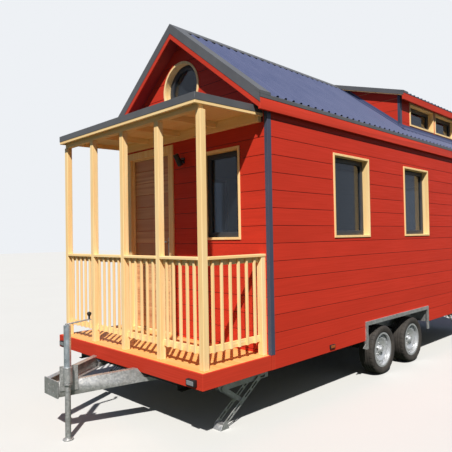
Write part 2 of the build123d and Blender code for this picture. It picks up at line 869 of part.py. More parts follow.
# Side walls: a skirt strip down to the platform's underside, the windows and the wheel box
under_inner = roof_top(inner_face) - roof_depth
window_middle = window_sill + window_height / 2
box_middle = (floor_clear + wheel_box_top) / 2
with BuildPart() as side_walls:
    for side, hand in sides:
        with BuildSketch(across(front_inner)):
            with BuildLine():
                Polyline(
                    (side * wall_face, deck_top),
                    (side * wall_face, wall_top),
                    (side * inner_face, under_inner),
                    (side * inner_face, deck_top),
                    close=True,
                )
            make_face()
        extrude(amount=front_inner - rear_inner)
        with BuildSketch(Plane.XY.offset(floor_clear)):
            with Locations((side * (wall_face + platform_edge) / 2, (front_face + rear_face) / 2)):
                Rectangle(skirt_thickness, house_length)
        extrude(amount=skirt_height)
        with BuildSketch(Plane.YZ.offset(side * wall_face)):
            for spot in side_window_spots:
                with Locations((skirt_front + spot, window_middle)):
                    Rectangle(side_window_width, window_height)
        extrude(amount=-side * wall_thickness, mode=Mode.SUBTRACT)
        with BuildSketch(Plane.YZ.offset(side * wall_face)):
            with Locations((axle_centre, box_middle)):
                Rectangle(box_rear - box_front, wheel_box_top - floor_clear)
        extrude(amount=-side * wall_thickness, mode=Mode.SUBTRACT)
write(side_walls, "side_walls")

# Front wall in three pieces round the doorway, and the rear wall in one
door_left = door_from_side - wall_face
door_right = door_left + door_leaf_width
door_head = wall_top - door_drop - deck_top
opening_left = door_left - door_gap
opening_right = door_right + door_swing_gap
rough_left = opening_left - jamb_thickness
rough_right = opening_right + jamb_thickness
head_height = deck_top + door_head
rough_top = head_height + jamb_thickness
front_window_x = wall_face - front_window_from_side - front_window_width / 2

with BuildPart() as front_wall_left:
    with BuildSketch(across(front_face)):
        with Locations(((rough_left - wall_face) / 2, (deck_top + rough_top) / 2)):
            Rectangle(rough_left + wall_face, rough_top - deck_top)
    extrude(amount=-wall_thickness)
write(front_wall_left, "front_wall_left")

with BuildPart() as front_wall_right:
    with BuildSketch(across(front_face)):
        with Locations(((rough_right + wall_face) / 2, (deck_top + rough_top) / 2)):
            Rectangle(wall_face - rough_right, rough_top - deck_top)
        with Locations((front_window_x, window_middle)):
            Rectangle(front_window_width, window_height, mode=Mode.SUBTRACT)
    extrude(amount=-wall_thickness)
write(front_wall_right, "front_wall_right")

with BuildPart() as front_wall_top:
    with BuildSketch(across(front_face)):
        with BuildLine():
            Polyline(
                (-wall_face, rough_top),
                (wall_face, rough_top),
                (wall_face, wall_top),
                (0, ridge_height - roof_depth),
                (-wall_face, wall_top),
                close=True,
            )
        make_face()
        with Locations((0, round_window_height)):
            Circle(round_window_radius, mode=Mode.SUBTRACT)
    extrude(amount=-wall_thickness)
write(front_wall_top, "front_wall_top")

with BuildPart() as rear_wall:
    with BuildSketch(across(rear_inner)):
        with BuildLine():
            Polyline(
                (-wall_face, deck_top),
                (wall_face, deck_top),
                (wall_face, wall_top),
                (0, ridge_height - roof_depth),
                (-wall_face, wall_top),
                close=True,
            )
        make_face()
        with Locations((0, round_window_height)):
            Circle(round_window_radius, mode=Mode.SUBTRACT)
        with Locations((0, window_middle)):
            Rectangle(side_window_width, window_height, mode=Mode.SUBTRACT)
    extrude(amount=-wall_thickness)
    with BuildSketch(Plane.XY.offset(floor_clear)):
        with Locations((0, rear_face - skirt_thickness / 2)):
            Rectangle(2 * platform_edge, skirt_thickness)
    extrude(amount=skirt_height)
write(rear_wall, "rear_wall")

# Main roof: two slabs that meet at the ridge, open between the cheeks of the dormers
board_edge = eave_half_width - flashing_thickness
slab_edge = board_edge - fascia_thickness
slab_inset = flashing_thickness + fascia_thickness


def roof_slab(side):
    """One slope of the main roof, cut away under the dormer."""
    with BuildPart() as part:
        with BuildSketch(across(roof_front + slab_inset)):
            with BuildLine():
                Polyline(*slope_band(side, 0, slab_edge, sheet_depth, roof_depth, slope), close=True)
            make_face()
        extrude(amount=roof_front - roof_rear + 2 * slab_inset)
        with BuildSketch(Plane.XY.offset(roof_top(slab_edge) - roof_depth)):
            with Locations((side * dormer_face / 2, (dormer_front + dormer_rear) / 2)):
                Rectangle(dormer_face, dormer_length)
        extrude(amount=ridge_height, mode=Mode.SUBTRACT)
    return part


for side, hand in sides:
    write(roof_slab(side), f"roof_{hand}")

# Red barge boards on the gables and fascia boards along the eaves, joined at the corners
fascia_low = roof_top(eave_half_width) - roof_depth
fascia_high = roof_top(board_edge) - sheet_depth
dormer_board_edge = dormer_eave - flashing_thickness
dormer_slab_edge = dormer_board_edge - fascia_thickness
dormer_slab_inset = flashing_thickness - dormer_side_overhang
dormer_fascia_low = dormer_top(dormer_eave) - dormer_fascia_face
dormer_fascia_high = dormer_top(dormer_board_edge) - dormer_sheet
dormer_slab_length = dormer_length - 2 * dormer_slab_inset
with BuildPart() as fascia_boards:
    for start in (roof_front + flashing_thickness, roof_rear - slab_inset):
        with BuildSketch(across(start)):
            with BuildLine():
                Polyline(*chevron(board_edge, sheet_depth, roof_depth, slope), close=True)
            make_face()
        extrude(amount=-fascia_thickness)
    for side, hand in sides:
        with BuildSketch(across(roof_front + flashing_thickness)):
            with Locations((side * (board_edge + slab_edge) / 2, (fascia_low + fascia_high) / 2)):
                Rectangle(fascia_thickness, fascia_high - fascia_low)
        extrude(amount=roof_front - roof_rear + 2 * flashing_thickness)
        with BuildSketch(across(dormer_front + dormer_slab_inset)):
            with Locations((
                side * (dormer_board_edge + dormer_slab_edge) / 2,
                (dormer_fascia_low + dormer_fascia_high) / 2,
            )):
                Rectangle(fascia_thickness, dormer_fascia_high - dormer_fascia_low)
        extrude(amount=-dormer_slab_length)
write(fascia_boards, "fascia_boards")

# Grey flashings of the main roof: verges, drips along the eaves, and the ridge cap
verge_legs = (
    (roof_front, verge_lap, flashing_depth),
    (roof_rear - verge_lap, verge_lap, flashing_depth),
    (roof_front, flashing_thickness, verge_depth),
    (roof_rear - flashing_thickness, flashing_thickness, verge_depth),
)
with BuildPart() as roof_flashings:
    for start, width, depth in verge_legs:
        with BuildSketch(across(start)):
            with BuildLine():
                Polyline(*chevron(eave_half_width, 0, depth, slope), close=True)
            make_face()
        extrude(amount=-width)
    with BuildSketch(across(roof_front)):
        for side, hand in sides:
            with Locations((
                side * (eave_half_width + board_edge) / 2,
                roof_top(eave_half_width) - (sheet_depth + drip_face) / 2,
            )):
                Rectangle(flashing_thickness, drip_face - sheet_depth)
    extrude(amount=roof_front - roof_rear)
    for start, end in ((roof_front, dormer_start), (dormer_end, roof_rear)):
        with BuildSketch(across(start)):
            with BuildLine():
                Polyline(*chevron(ridge_lap, 0, flashing_depth, slope), close=True)
            make_face()
        extrude(amount=start - end)
write(roof_flashings, "roof_flashings")

# Dormers: on each side a front wall and two cheeks, under one flat roof from the ridge
dormer_inner = dormer_face - wall_thickness
cheek_start = cheek_gap / 2
dormer_windows = tuple(
    dormer_front + dormer_window_margin + dormer_window_width / 2
    + number * (dormer_window_width + dormer_window_gap)
    for number in (0, 1)
)
dormer_window_sill = roof_top(dormer_face) + dormer_sill_rise
dormer_window_head = dormer_top(dormer_face) - dormer_depth - dormer_head_drop
dormer_window_height = dormer_window_head - dormer_window_sill
dormer_window_middle = (dormer_window_head + dormer_window_sill) / 2
wall_foot = roof_top(dormer_face) - roof_depth
with BuildPart() as dormer_walls:
    for side, hand in sides:
        with BuildSketch(across(dormer_front)):
            with BuildLine():
                Polyline(
                    (side * cheek_start, roof_top(cheek_start) - roof_depth),
                    (side * cheek_start, dormer_top(cheek_start) - dormer_depth),
                    (side * dormer_face, dormer_top(dormer_face) - dormer_depth),
                    (side * dormer_face, wall_foot),
                    close=True,
                )
            make_face()
        extrude(amount=-dormer_length)
        with BuildSketch(across(dormer_front + wall_thickness)):
            with Locations((side * dormer_inner / 2, ridge_height - roof_build_up)):
                Rectangle(dormer_inner, 2 * ridge_height)
        extrude(amount=2 * wall_thickness - dormer_length, mode=Mode.SUBTRACT)
        with BuildSketch(Plane.YZ.offset(side * dormer_face)):
            for spot in dormer_windows:
                with Locations((spot, dormer_window_middle)):
                    Rectangle(dormer_window_width, dormer_window_height)
        extrude(amount=-side * wall_thickness, mode=Mode.SUBTRACT)
write(dormer_walls, "dormer_walls")

verge_ranges = ((dormer_start, dormer_front), (dormer_rear, dormer_end))
with BuildPart() as below_verges:
    for start, end in verge_ranges:
        with BuildSketch(across(start)):
            with BuildLine():
                Polyline(
                    *chevron(eave_half_width, flashing_depth - sheet_gap, ridge_height / 2, slope),
                    close=True,
                )
            make_face()
        extrude(amount=start - end)

with BuildPart() as dormer_roof:
    with BuildSketch(across(dormer_front + dormer_slab_inset)):
        with BuildLine():
            Polyline(
                *chevron(dormer_slab_edge, dormer_sheet, dormer_depth, dormer_slope), close=True
            )
        make_face()
    extrude(amount=-dormer_slab_length)
    add(below_verges.part, mode=Mode.SUBTRACT)
write(dormer_roof, "dormer_roof")

dormer_verge_legs = (
    (dormer_start, verge_lap, dormer_flashing),
    (dormer_end - verge_lap, verge_lap, dormer_flashing),
    (dormer_start, flashing_thickness, dormer_verge_depth),
    (dormer_end - flashing_thickness, flashing_thickness, dormer_verge_depth),
)
with BuildPart() as dormer_flashings:
    for start, width, depth in dormer_verge_legs:
        with BuildSketch(across(start)):
            with BuildLine():
                Polyline(*chevron(dormer_eave, 0, depth, dormer_slope), close=True)
            make_face()
        extrude(amount=-width)
    with BuildSketch(across(dormer_start)):
        with BuildLine():
            Polyline(*chevron(ridge_lap, 0, dormer_flashing, dormer_slope), close=True)
        make_face()
        for side, hand in sides:
            with Locations((
                side * (dormer_eave + dormer_board_edge) / 2,
                dormer_top(dormer_eave) - (dormer_sheet + dormer_drip_face) / 2,
            )):
                Rectangle(flashing_thickness, dormer_drip_face - dormer_sheet)
    extrude(amount=dormer_start - dormer_end)
    add(below_verges.part, mode=Mode.SUBTRACT)
write(dormer_flashings, "dormer_flashings")

# Ribbed steel sheets that run down both roofs under the flashings
rib_height = sheet_drop - flashing_thickness
rib_hollow = rib_base - 2 * sheet_steel / math.sin(math.radians(rib_angle))


def ribbed_sheet(place, start, end, first, run):
    """Sheet drawn out from a plane whose x axis crosses its ribs."""
    count = math.floor((end - first - rib_base / 2) / rib_pitch) + 1
    spots = [(first + number * rib_pitch, 0) for number in range(count)]
    foot = (Align.CENTER, Align.MIN)
    with BuildPart() as part:
        with BuildSketch(place):
            with Locations(((start + end) / 2, sheet_steel / 2)):
                Rectangle(end - start, sheet_steel)
            with Locations(*spots):
                Trapezoid(rib_base, rib_height, rib_angle, align=foot)
            with Locations(*spots):
                Trapezoid(
                    rib_hollow, rib_height - sheet_steel, rib_angle, align=foot, mode=Mode.SUBTRACT
                )
        extrude(amount=run)
    return part


def slope_sheet(pitch, edge, start, end):
    """Ribbed sheet on the right-hand slope, from near the ridge to over the eave's edge."""
    fall = math.radians(pitch)
    down = Vector(math.cos(fall), 0, -math.sin(fall))
    top = Vector(0, 0, ridge_height - sheet_drop / math.cos(fall)) + down * sheet_ridge_gap
    place = Plane(origin=top, x_dir=(0, 1, 0), z_dir=down)
    run = (edge - rib_height * math.sin(fall)) / math.cos(fall) - sheet_ridge_gap
    inset = flashing_thickness + sheet_gap
    return ribbed_sheet(place, start + inset, end - inset, start + rib_from_verge, run)


dormer_clear = trim_thickness + sheet_gap
with BuildPart() as main_sheet:
    add(slope_sheet(roof_pitch, eave_half_width, roof_front, roof_rear).part)
    with BuildSketch(Plane.XY.offset(roof_top(eave_half_width) - roof_depth)):
        with Locations(((dormer_face + dormer_clear) / 2, (dormer_front + dormer_rear) / 2)):
            Rectangle(dormer_face + dormer_clear, dormer_length + 2 * dormer_clear)
    extrude(amount=ridge_height, mode=Mode.SUBTRACT)

with BuildPart() as dormer_sheet_piece:
    add(slope_sheet(dormer_pitch, dormer_eave, dormer_start, dormer_end).part)
    add(below_verges.part, mode=Mode.SUBTRACT)

with BuildPart() as roof_sheets:
    add(main_sheet.part)
    add(dormer_sheet_piece.part)
    mirror(about=Plane.YZ)
write(roof_sheets, "roof_sheets")

# Grey corner trims of the house and of the dormers
trim_top = roof_top(wall_face + trim_thickness) - roof_depth
dormer_trim_base = roof_top(dormer_face - trim_return) - sheet_depth
dormer_trim_top = dormer_top(dormer_face + trim_thickness) - dormer_depth
trim_corners = (
    (wall_face, front_face, -1, deck_top, trim_top),
    (wall_face, rear_face, 1, deck_top, trim_top),
    (dormer_face, dormer_front, -1, dormer_trim_base, dormer_trim_top),
    (dormer_face, dormer_rear, 1, dormer_trim_base, dormer_trim_top),
)
with BuildPart() as corner_trims:
    for side, hand in sides:
        for face, end, way, low, high in trim_corners:
            with BuildSketch(Plane.XY.offset(low)):
                with BuildLine():
                    Polyline(
                        (side * face, end),
                        (side * (face + trim_thickness - trim_return), end),
                        (side * (face + trim_thickness - trim_return), end + way * trim_thickness),
                        (side * (face + trim_thickness), end + way * trim_thickness),
                        (side * (face + trim_thickness), end + way * (trim_thickness - trim_width)),
                        (side * face, end + way * (trim_thickness - trim_width)),
                        close=True,
                    )
                make_face()
            extrude(amount=high - low)
write(corner_trims, "corner_trims")

# Windows: where each stands, facing out, with its outer width and height
rect_windows = []
round_windows = [
    Plane(origin=(0, front_face, round_window_height), x_dir=(1, 0, 0), z_dir=(0, -1, 0)),
    Plane(origin=(0, rear_face, round_window_height), x_dir=(-1, 0, 0), z_dir=(0, 1, 0)),
]
rect_windows.append((
    Plane(origin=(front_window_x, front_face, window_middle), x_dir=(1, 0, 0), z_dir=(0, -1, 0)),
    front_window_width,
    window_height,
))
rect_windows.append((
    Plane(origin=(0, rear_face, window_middle), x_dir=(-1, 0, 0), z_dir=(0, 1, 0)),
    side_window_width,
    window_height,
))
for side, hand in sides:
    for spot in side_window_spots:
        rect_windows.append((
            Plane(
                origin=(side * wall_face, skirt_front + spot, window_middle),
                x_dir=(0, side, 0),
                z_dir=(side, 0, 0),
            ),
            side_window_width,
            window_height,
        ))
    for spot in dormer_windows:
        rect_windows.append((
            Plane(
                origin=(side * dormer_face, spot, dormer_window_middle),
                x_dir=(0, side, 0),
                z_dir=(side, 0, 0),
            ),
            dormer_window_width,
            dormer_window_height,
        ))

with BuildPart() as window_casings:
    for place, width, height in rect_windows:
        with BuildSketch(place.offset(lining_proud)):
            Rectangle(width, height)
            Rectangle(width - 2 * lining_thickness, height - 2 * lining_thickness, mode=Mode.SUBTRACT)
        extrude(amount=-lining_proud - wall_thickness)
    for place in round_windows:
        with BuildSketch(place.offset(lining_proud)):
            Circle(round_window_radius)
            Circle(round_window_radius - lining_thickness, mode=Mode.SUBTRACT)
        extrude(amount=-lining_proud - wall_thickness)
write(window_casings, "window_casings")

sash_inset = lining_thickness + sash_width
with BuildPart() as window_frames:
    for place, width, height in rect_windows:
        with BuildSketch(place.offset(-sash_recess)):
            Rectangle(width - 2 * lining_thickness, height - 2 * lining_thickness)
            Rectangle(width - 2 * sash_inset, height - 2 * sash_inset, mode=Mode.SUBTRACT)
        extrude(amount=-sash_thickness)
    for place in round_windows:
        with BuildSketch(place.offset(-sash_recess)):
            Circle(round_window_radius - lining_thickness)
            Circle(round_window_radius - sash_inset, mode=Mode.SUBTRACT)
        extrude(amount=-sash_thickness)
write(window_frames, "window_frames")

glass_recess = sash_recess + (sash_thickness - glass_thickness) / 2
with BuildPart() as window_glass:
    for place, width, height in rect_windows:
        with BuildSketch(place.offset(-glass_recess)):
            Rectangle(width - 2 * sash_inset, height - 2 * sash_inset)
        extrude(amount=-glass_thickness)
    for place in round_windows:
        with BuildSketch(place.offset(-glass_recess)):
            Circle(round_window_radius - sash_inset)
        extrude(amount=-glass_thickness)
write(window_glass, "window_glass")

# Door frame: jambs, head, stops, threshold and the boards round the outside
frame_depth = door_recess + door_leaf_thickness
opening_middle = (opening_left + opening_right) / 2
opening_width = opening_right - opening_left
stop_start = door_recess - door_gap - stop_depth
hinge_x = door_left - door_gap / 2
hinge_y = front_face + frame_depth + hinge_stand
hinge_high = door_head - hinge_drop
hinge_heights = (hinge_rise, (hinge_rise + hinge_high) / 2, hinge_high)
with BuildPart() as door_frame:
    with BuildSketch(across(front_face)):
        with Locations((opening_middle, (deck_top + rough_top) / 2)):
            Rectangle(rough_right - rough_left, rough_top - deck_top)
        with Locations((opening_middle, (deck_top + threshold_height + head_height) / 2)):
            Rectangle(
                opening_width, head_height - deck_top - threshold_height, mode=Mode.SUBTRACT
            )
    extrude(amount=-frame_depth)
    with BuildSketch(across(front_face + stop_start)):
        with Locations((opening_middle, (deck_top + head_height) / 2)):
            Rectangle(opening_width, door_head)
        with Locations((opening_middle, (deck_top + head_height - stop_width) / 2)):
            Rectangle(
                opening_width - 2 * stop_width, door_head - stop_width, mode=Mode.SUBTRACT
            )
    extrude(amount=-stop_depth)
    with BuildSketch(across(front_face)):
        with Locations((opening_middle, (deck_top + head_height + casing_width) / 2)):
            Rectangle(opening_width + 2 * casing_width, door_head + casing_width)
        with Locations((opening_middle, (deck_top + head_height) / 2)):
            Rectangle(opening_width, door_head, mode=Mode.SUBTRACT)
    extrude(amount=casing_thickness)
    for height in hinge_heights:
        base = deck_top + height
        with BuildSketch(Plane.XY.offset(base - hinge_barrel_length)):
            with Locations((hinge_x, hinge_y)):
                Circle(hinge_barrel_radius)
            with Locations((
                (hinge_x + rough_left) / 2, front_face + frame_depth + hinge_leaf_thickness / 2
            )):
                Rectangle(hinge_x - rough_left, hinge_leaf_thickness)
        extrude(amount=hinge_barrel_length - hinge_clearance)
        with BuildSketch(Plane.XY.offset(base - hinge_barrel_length)):
            with Locations((hinge_x, hinge_y)):
                Circle(hinge_pin_radius)
        extrude(amount=2 * hinge_barrel_length)
write(door_frame, "door_frame")

# Door leaf that swings inwards, its half of the hinges, and the handles
leaf_low = deck_top + threshold_height + door_gap
leaf_high = head_height - door_gap
leaf_outer = front_face + door_recess
leaf_inner = leaf_outer + door_leaf_thickness
with BuildPart() as door_leaf:
    with BuildSketch(across(leaf_outer)):
        with Locations(((door_left + door_right) / 2, (leaf_low + leaf_high) / 2)):
            Rectangle(door_leaf_width, leaf_high - leaf_low)
    extrude(amount=-door_leaf_thickness)
write(door_leaf, "door_leaf")

handle_x = door_right - handle_from_edge
handle_z = deck_top + handle_height
hinge_bore = hinge_pin_radius + running_clearance
with BuildPart() as door_fittings:
    for height in hinge_heights:
        base = deck_top + height
        with BuildSketch(Plane.XY.offset(base + hinge_clearance)):
            with Locations((hinge_x, hinge_y)):
                Circle(hinge_barrel_radius)
            with Locations((
                hinge_x + hinge_leaf_width / 2, leaf_inner + hinge_leaf_thickness / 2
            )):
                Rectangle(hinge_leaf_width, hinge_leaf_thickness)
            with Locations((hinge_x, hinge_y)):
                Circle(hinge_bore, mode=Mode.SUBTRACT)
        extrude(amount=hinge_barrel_length)
    for face, way in ((leaf_outer, 1), (leaf_inner, -1)):
        with BuildSketch(across(face)):
            with Locations((handle_x, handle_z - handle_plate_height / 4)):
                Rectangle(handle_plate_width, handle_plate_height)
        extrude(amount=way * handle_plate_thickness)
        with BuildSketch(across(face)):
            with Locations((handle_x, handle_z)):
                Circle(handle_stem_radius)
        extrude(amount=way * handle_stand)
        with BuildSketch(Plane.YZ.offset(handle_x + handle_radius)):
            with Locations((face - way * handle_stand, handle_z)):
                Circle(handle_radius)
        extrude(amount=-handle_length)
write(door_fittings, "door_fittings")

# Porch posts: five along the front from the deck to the beam, and a short one at the wall
post_front = skirt_front + post_setback
post_y = post_front + post_size / 2
post_row_half = wall_face - post_from_side
bay = 2 * post_row_half / porch_bays
post_spots = tuple(-post_row_half + number * bay for number in range(porch_bays + 1))
cap_low = deck_top + railing_top - cap_thickness
with BuildPart() as porch_posts:
    with BuildSketch(Plane.XY.offset(deck_top)):
        for spot in post_spots:
            with Locations((spot, post_y)):
                Rectangle(post_size, post_size)
    extrude(amount=porch_beam_low - deck_top)
    with BuildSketch(Plane.XY.offset(deck_top)):
        with Locations((post_row_half, front_face - post_size / 2)):
            Rectangle(post_size, post_size)
    extrude(amount=cap_low - deck_top)
write(porch_posts, "porch_posts")

# Railings: upright bars on the outer faces of two rails, under an overhanging cap
front_clear = bay - post_size
side_start = post_front + post_size
side_end = front_face - post_size
side_clear = side_end - side_start
side_face = post_row_half + post_size / 2
rail_levels = (
    (deck_top + lower_rail_bottom, lower_rail_height),
    (cap_low - upper_rail_height, upper_rail_height),
)
bar_low = deck_top + lower_rail_bottom
bar_recess = baluster_recess + baluster_depth / 2
rail_recess = baluster_recess + baluster_depth + rail_thickness / 2
first_bar = baluster_from_post + baluster_width / 2
front_step = (front_clear - 2 * first_bar) / (front_balusters - 1)
side_step = (side_clear - 2 * first_bar) / (side_balusters - 1)
with BuildPart() as porch_railings:
    for start in post_spots[:-1]:
        middle = start + bay / 2
        for low, height in rail_levels:
            with BuildSketch(Plane.XY.offset(low)):
                with Locations((middle, post_front + rail_recess)):
                    Rectangle(front_clear, rail_thickness)
            extrude(amount=height)
        with BuildSketch(Plane.XY.offset(bar_low)):
            for number in range(front_balusters):
                spot = post_size / 2 + first_bar + number * front_step
                with Locations((start + spot, post_front + bar_recess)):
                    Rectangle(baluster_width, baluster_depth)
        extrude(amount=cap_low - bar_low)
        with BuildSketch(Plane.XY.offset(cap_low)):
            with Locations((middle, post_front - cap_overhang + cap_width / 2)):
                Rectangle(front_clear, cap_width)
        extrude(amount=cap_thickness)
    for low, height in rail_levels:
        with BuildSketch(Plane.XY.offset(low)):
            with Locations((side_face - rail_recess, (side_start + side_end) / 2)):
                Rectangle(rail_thickness, side_clear)
        extrude(amount=height)
    with BuildSketch(Plane.XY.offset(bar_low)):
        for number in range(side_balusters):
            spot = first_bar + number * side_step
            with Locations((side_face - bar_recess, side_start + spot)):
                Rectangle(baluster_depth, baluster_width)
    extrude(amount=cap_low - bar_low)
    with BuildSketch(Plane.XY.offset(cap_low)):
        with Locations((side_face + cap_overhang - cap_width / 2, (side_start + front_face) / 2)):
            Rectangle(cap_width, front_face - side_start)
    extrude(amount=cap_thickness)
write(porch_railings, "porch_railings")

# Porch roof: boards, the pine fascia round three sides, and the grey sheet edge over both
def porch_top(y):
    """Height of the top of the porch roof at y."""
    return porch_roof_front_top + (y - skirt_front) * porch_fall


def porch_layer(inset, width, upper, lower):
    """A layer of the porch roof between two depths, or a U of it round its free edges."""
    start = skirt_front + inset
    with BuildPart() as layer:
        with BuildSketch(Plane.YZ.offset(inset - porch_roof_half)):
            with BuildLine():
                Polyline(
                    (start, porch_top(start) - upper),
                    (front_face, porch_top(front_face) - upper),
                    (front_face, porch_top(front_face) - lower),
                    (start, porch_top(start) - lower),
                    close=True,
                )
            make_face()
        extrude(amount=2 * (porch_roof_half - inset))
        if width:
            with BuildSketch(Plane.XY.offset(porch_beam_low - porch_roof_half)):
                with Locations((0, start + width + porch_depth / 2)):
                    Rectangle(2 * (porch_roof_half - inset - width), porch_depth)
            extrude(amount=2 * porch_roof_half, mode=Mode.SUBTRACT)
    return layer


porch_inset = flashing_thickness + porch_fascia_thickness
write(porch_layer(porch_inset, 0, flashing_thickness, porch_roof_board), "porch_roof")
write(
    porch_layer(
        flashing_thickness, porch_fascia_thickness, flashing_thickness, porch_fascia_bottom
    ),
    "porch_fascia",
)
edge_face = porch_layer(0, flashing_thickness, 0, porch_edge_face)
edge_lap = porch_layer(0, porch_edge_lap, 0, flashing_thickness)
with BuildPart() as porch_roof_edge:
    add(edge_face.part)
    add(edge_lap.part)
write(porch_roof_edge, "porch_roof_edge")

sheet_half = porch_roof_half - porch_edge_lap - sheet_gap
sheet_start = skirt_front + porch_edge_lap + sheet_gap
sheet_low = porch_top(sheet_start) - flashing_thickness
first_rib = -rib_pitch * math.floor((sheet_half - rib_base / 2) / rib_pitch)
porch_sheet = ribbed_sheet(
    Plane(origin=(0, sheet_start, sheet_low), x_dir=(-1, 0, 0), z_dir=(0, 1, porch_fall)),
    -sheet_half,
    sheet_half,
    first_rib,
    front_face - sheet_gap - sheet_start,
)
write(porch_sheet, "porch_roof_sheet")

# Porch frame: the beam on the posts, the ledger on the wall and the rafters between them
ledger_front = front_face - porch_rafter_width
beam_rear = post_front + post_size
board_under = porch_roof_board
with BuildPart() as porch_frame:
    with BuildSketch(Plane.YZ.offset(porch_inset - porch_roof_half)):
        with BuildLine():
            Polyline(
                (post_front, porch_beam_low),
                (beam_rear, porch_beam_low),
                (beam_rear, porch_top(beam_rear) - board_under),
                (post_front, porch_top(post_front) - board_under),
                close=True,
            )
        make_face()
    extrude(amount=2 * (porch_roof_half - porch_inset))
    with BuildSketch(Plane.YZ.offset(porch_inset - porch_roof_half)):
        with BuildLine():
            Polyline(
                (ledger_front, porch_top(ledger_front) - board_under - ledger_height),
                (front_face, porch_top(ledger_front) - board_under - ledger_height),
                (front_face, porch_top(front_face) - board_under),
                (ledger_front, porch_top(ledger_front) - board_under),
                close=True,
            )
        make_face()
    extrude(amount=2 * (porch_roof_half - porch_inset))
    for spot in post_spots[1:-1]:
        with BuildSketch(Plane.YZ.offset(spot - porch_rafter_width / 2)):
            with BuildLine():
                Polyline(
                    (beam_rear, porch_top(beam_rear) - board_under),
                    (ledger_front, porch_top(ledger_front) - board_under),
                    (ledger_front, porch_top(ledger_front) - board_under - porch_rafter_height),
                    (beam_rear, porch_top(beam_rear) - board_under - porch_rafter_height),
                    close=True,
                )
            make_face()
        extrude(amount=porch_rafter_width)
write(porch_frame, "porch_frame")

# Lamps: a tilted tube by the door, two clear markers in front and an amber one on each side
lamp_x = door_right + lamp_from_door
lamp_height = porch_beam_low - lamp_drop
lamp_centre = (lamp_x, front_face - lamp_plate - lamp_reach, lamp_height)
lamp_axis = (0, -math.sin(math.radians(lamp_tilt)), math.cos(math.radians(lamp_tilt)))
with BuildPart() as wall_lamp:
    with BuildSketch(across(front_face)):
        with Locations((lamp_x, lamp_height)):
            Rectangle(2 * lamp_radius, 2 * lamp_radius)
    extrude(amount=lamp_plate)
    with BuildSketch(across(front_face)):
        with Locations((lamp_x, lamp_height)):
            Circle(lamp_arm_radius)
    extrude(amount=lamp_plate + lamp_reach)
    with BuildSketch(Plane(origin=lamp_centre, x_dir=(1, 0, 0), z_dir=lamp_axis)):
        Circle(lamp_radius)
    extrude(amount=lamp_length / 2, both=True)
write(wall_lamp, "wall_lamp")

with BuildPart() as marker_lamps:
    for side, hand in sides:
        with BuildSketch(across(skirt_front)):
            with Locations((side * (wall_face - marker_from_side), floor_clear + marker_above_skirt)):
                Rectangle(marker_length, marker_height)
        extrude(amount=marker_depth)
        with BuildSketch(Plane.YZ.offset(side * wall_face)):
            with Locations((skirt_front + side_marker_from_front, floor_clear + marker_above_skirt)):
                Rectangle(side_marker_length, side_marker_height)
        extrude(amount=side * side_marker_depth)
write(marker_lamps, "marker_lamps")
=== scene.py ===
import json
import math

import bpy
from mathutils import Matrix, Vector

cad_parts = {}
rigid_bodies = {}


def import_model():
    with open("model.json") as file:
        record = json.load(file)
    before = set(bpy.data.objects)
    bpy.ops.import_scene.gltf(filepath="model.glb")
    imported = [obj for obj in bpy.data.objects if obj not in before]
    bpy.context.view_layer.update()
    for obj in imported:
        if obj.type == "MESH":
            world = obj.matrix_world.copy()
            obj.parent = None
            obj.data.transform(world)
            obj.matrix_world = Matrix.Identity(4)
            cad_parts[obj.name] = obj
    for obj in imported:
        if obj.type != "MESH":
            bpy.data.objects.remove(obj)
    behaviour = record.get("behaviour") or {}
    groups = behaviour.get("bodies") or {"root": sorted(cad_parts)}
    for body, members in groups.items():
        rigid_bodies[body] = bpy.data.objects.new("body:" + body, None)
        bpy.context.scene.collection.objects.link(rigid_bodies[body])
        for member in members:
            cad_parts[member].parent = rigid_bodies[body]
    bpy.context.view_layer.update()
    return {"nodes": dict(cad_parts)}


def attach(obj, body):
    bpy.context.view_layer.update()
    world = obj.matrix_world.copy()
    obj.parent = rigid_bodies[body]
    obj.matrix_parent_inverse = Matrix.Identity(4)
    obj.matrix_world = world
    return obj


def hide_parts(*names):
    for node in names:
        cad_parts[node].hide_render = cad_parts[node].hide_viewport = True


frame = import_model()
bpy.ops.object.select_all(action="DESELECT")

# Camera, where the photographer stood, and the view settings
camera = bpy.data.objects.new("camera", bpy.data.cameras.new("camera"))
bpy.context.scene.collection.objects.link(camera)
camera_yaw, camera_pitch, camera_roll = 45.3468, 1.2803, -0.9688
camera.matrix_world = (
    Matrix.Translation((4.099, -5.501, 1.678))
    @ Matrix.Rotation(math.radians(camera_yaw), 4, "Z")
    @ Matrix.Rotation(math.radians(90 + camera_pitch), 4, "X")
    @ Matrix.Rotation(math.radians(camera_roll), 4, "Z")
)
camera.data.sensor_width = 36.0
camera.data.lens = 38.987
bpy.context.scene.camera = camera
bpy.context.scene.view_settings.view_transform = "Standard"

# Sizes in metres, as the CAD model has them
SKIRT_FRONT = -2.9365
FRONT_FACE = -2.1025
REAR_FACE = 3.4575
ROOF_FRONT = -2.2515
ROOF_REAR = 3.6065
PLATFORM_LOW = 0.470
DECK_TOP = 0.602
WALL_FACE = 1.215
WALL_INNER = 1.085
PLATFORM_EDGE = 1.193
RIDGE = 3.974
ROOF_PITCH = math.radians(38.3)
ROOF_DEPTH = 0.130
EAVE = 1.264
SHEET_DROP = 0.022
DORMER_FRONT = 1.0005
DORMER_REAR = 3.2575
DORMER_FACE = 1.001
DORMER_EAVE = 1.089
DORMER_PITCH = math.radians(16.5)
DORMER_DEPTH = 0.066
DORMER_OVERHANG = 0.070
TRIM_RETURN = 0.034
TRIM_LAP = 0.048
WINDOW_SILL = 1.650
WINDOW_HEAD = 2.555
SIDE_WINDOWS = (-0.6705, 0.9605)
SIDE_WINDOW_HALF = 0.3725
FRONT_WINDOW = (0.306, 0.866)
ROUND_WINDOW = 3.298
ROUND_WINDOW_RADIUS = 0.296
